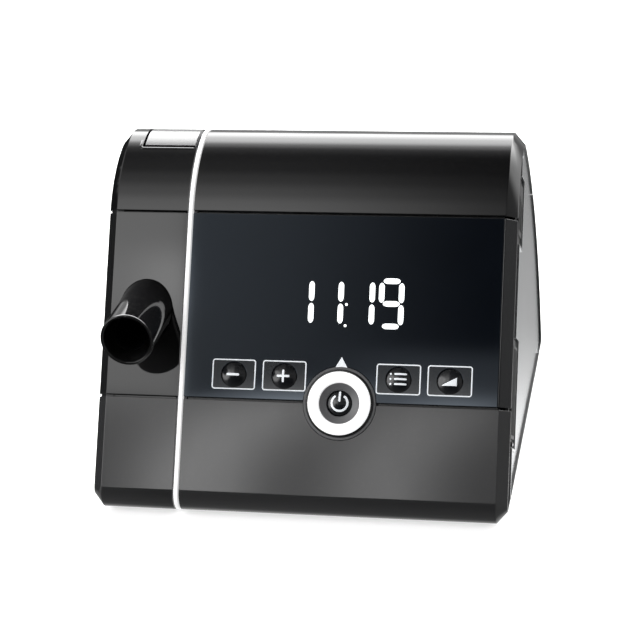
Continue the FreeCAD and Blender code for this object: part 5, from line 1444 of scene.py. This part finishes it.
def stroke(x, rise, reach, width, lean=0.0):
    """A straight stroke with round ends."""
    rows = []
    for i in range(STROKE_STEPS + 1):
        along = -math.cos(math.pi * i / STROKE_STEPS) * reach / 2
        past = max(0.0, abs(along) - (reach - width) / 2)
        half = math.sqrt(max(0.0, (width / 2) ** 2 - past ** 2))
        sides = [half * (2 * j / STROKE_COLUMNS - 1) for j in range(STROKE_COLUMNS + 1)]
        rows.append([(x + along * math.cos(lean) - side * math.sin(lean),
                      rise + along * math.sin(lean) + side * math.cos(lean)) for side in sides])
    return rows


def bow(x, rise, radius, width, start, end):
    spokes = (radius - width / 2, radius, radius + width / 2)
    return [[(x + spoke * math.cos(angle), rise + spoke * math.sin(angle)) for spoke in spokes]
            for angle in map(math.radians, steps(start, end, BOW_STEPS))]


def wedge(x, rise, reach, height):
    return [[(x + reach * i / WEDGE_STEPS, high)
             for high in steps(rise, rise + height * i / WEDGE_STEPS, STROKE_COLUMNS)]
            for i in range(WEDGE_STEPS + 1)]


# %% Signs for the five keys
DOME_REACH, DOME_RISE = 5.0, 1.5
DOME_BALL = (DOME_REACH ** 2 + DOME_RISE ** 2) / (2 * DOME_RISE)
SIGN_LIFT = 0.05
SIGNS = {
    "key_minus": [stroke(-27.95, 61.8, 5.4, 0.95)],
    "key_plus": [stroke(-6.95, 61.8, 5.4, 0.9), stroke(-6.95, 61.8, 5.2, 0.9, UPRIGHT)],
    "key_menu": [part for rise in (64.1, 62.05, 60.0)
                 for part in (stroke(37.3, rise, 0.85, 0.8), stroke(41.35, rise, 5.1, 0.75))],
    "key_ramp": [wedge(57.95, 60.0, 6.3, 3.4)],
    "power_key": [bow(16.85, 51.6, 3.25, 0.85, 122, 418), stroke(16.85, 54.2, 4.3, 0.85, UPRIGHT)],
}


def dome_top(node):
    corners = nodes[node].data.vertices
    return max((corner.co - PANEL_FOOT).dot(PANEL_OUT) for corner in corners) / MM


def on_dome(middle, top, x, rise):
    off = (x - middle[0]) ** 2 + (rise - middle[1]) ** 2
    return top - DOME_BALL + math.sqrt(DOME_BALL ** 2 - off)


def print_sign(node, parts):
    middle = POWER_SPOT if node == "power_key" else (KEY_X[node], KEY_RISE)
    top = dome_top(node)
    sheets = []
    for rows in parts:
        laid = [[(x, rise, on_dome(middle, top, x, rise) + SIGN_LIFT) for x, rise in row]
                for row in rows]
        sheets.append(slab(laid, on_panel, 3 * SIGN_LIFT))
    return show(joined(sheets), node + "_sign", body_of(node), PRINT_PAINTED_GLOW, "trim_white")


for node, parts in SIGNS.items():
    sign = print_sign(node, parts)
    print(sign.name, "faces:", len(sign.data.polygons))

# %% [markdown]
# ## The pointer
# A small printed triangle stands over the power key. A flat face would lie in the panel's own
# surface and flicker, so slab makes a thin sheet of rows that grow narrower up to the tip.

# %% The pointer over the power key
POINTER_X, POINTER_RISE, POINTER_STEPS = (14.4, 19.25), (66.1, 70.4), 8


def pointer_rows():
    middle, half = sum(POINTER_X) / 2, (POINTER_X[1] - POINTER_X[0]) / 2
    return [[(middle + side * half * (1 - i / POINTER_STEPS), rise, SIGN_LIFT)
             for side in (-1, 0, 1)] for i, rise in enumerate(steps(*POINTER_RISE, POINTER_STEPS))]


pointer = joined([slab(pointer_rows(), on_panel, 2 * SIGN_LIFT)])
show(pointer, "pointer", "casing", PRINT_PAINTED_GLOW, "trim_white")
print("pointer faces:", len(pointer.polygons))

# %% [markdown]
# ## The lip before the filter lid
# A raised bead runs along the front of the filter lid and turns up beside it, so that water
# which drips on the case runs round the filter. It follows the bend of the case, which is
# why its points are given as a distance across and a distance along the case.

# %% The lid's bead
LIP_WIDTH, LIP_HEIGHT, LIP_SINK, LIP_DEPTH = 1.3, 0.32, 0.03, 0.5
LIP_RIGHT, LIP_LEFT = -52.4, -75.7
LIP_RUN, LIP_END = 159.45, 165.2
LIP_TURN = 1.6
LIP_FRONT_STEPS, LIP_TURN_STEPS, LIP_SIDE_STEPS = 16, 8, 6
LIP_COLUMNS, LIP_FADE = 8, 5


def lip_path():
    turn_x, turn_run = LIP_LEFT + LIP_TURN, LIP_RUN + LIP_TURN
    path = [(x, LIP_RUN) for x in steps(LIP_RIGHT, turn_x, LIP_FRONT_STEPS)]
    for angle in map(math.radians, steps(-90, -180, LIP_TURN_STEPS)[1:]):
        path.append((turn_x + LIP_TURN * math.cos(angle), turn_run + LIP_TURN * math.sin(angle)))
    return path + [(LIP_LEFT, run) for run in steps(turn_run, LIP_END, LIP_SIDE_STEPS)[1:]]


def lay_bead(path):
    """A half-round bead along the path that sinks away at its end."""
    rows = []
    for i, (x, run) in enumerate(path):
        before, after = path[max(i - 1, 0)], path[min(i + 1, len(path) - 1)]
        way = Vector((after[0] - before[0], after[1] - before[1])).normalized()
        height = LIP_HEIGHT * min(1.0, (len(path) - 1 - i) / LIP_FADE)
        row = []
        for j in range(LIP_COLUMNS + 1):
            across = 2 * j / LIP_COLUMNS - 1
            side = across * LIP_WIDTH / 2
            lift = height * math.sqrt(1 - across ** 2) - LIP_SINK
            row.append((x - way.y * side, run + way.x * side, lift))
        rows.append(row)
    return joined([slab(rows, on_case, LIP_DEPTH)])


show(lay_bead(lip_path()), "lid_lip", "casing", GLOSS_CASE, "case_black")
print("lip laid, points:", len(lip_path()))

# %% [markdown]
# ## Ribs and a dust net
# The rubber grips on the right side carry fine ribs that run along the front edge, and a net
# of thin wires behind the rear vents keeps fluff out. Both are bars along paths, so the tool
# that swept the strip makes them too: several separate paths in one seed give several bars.

# %% The grips' ribs
PAD_FACE = 85.7
PAD_RUNS = ((42.0, 77.0), (126.0, 144.0))
RIB_INSETS = (12.0, 14.4, 16.8, 19.2, 21.6)
RIB_STEPS = 12
RIB_SIZES = (0.34, 0.8, 0.15)
print("ribs on each pad:", len(RIB_INSETS))
ribs = [[on_case(PAD_FACE, run, -inset) for run in steps(*pad, RIB_STEPS)]
        for pad in PAD_RUNS for inset in RIB_INSETS]
sweep(ribs, "grip_ribs", DARK_RUBBER, "rubber_dark", *RIB_SIZES)

# %% The net behind the rear vents
NET_X, NET_RUNS = (24.5, 61.5), (258.5, 292.0)
NET_DEPTH, NET_PITCH = 2.9, 1.9
WIRE, WIRE_CORNER = 0.3, 0.08
CROSSING = 0.7 * WIRE
LONG_STEP = 6.0


def even_steps(low, high, pitch):
    return steps(low, high, round((high - low) / pitch))


runs = even_steps(*NET_RUNS, NET_PITCH)
wires = [[on_case(x, run, -NET_DEPTH) for run in runs] for x in even_steps(*NET_X, NET_PITCH)]
wires += [[on_case(x, run, -NET_DEPTH - CROSSING) for x in even_steps(*NET_X, LONG_STEP)]
          for run in runs]
print("net from z", *[round(on_case(0, run).z / MM, 1) for run in NET_RUNS])
sweep(wires, "dust_net", FRAME_BLACK, "frame_black", WIRE, WIRE, WIRE_CORNER)
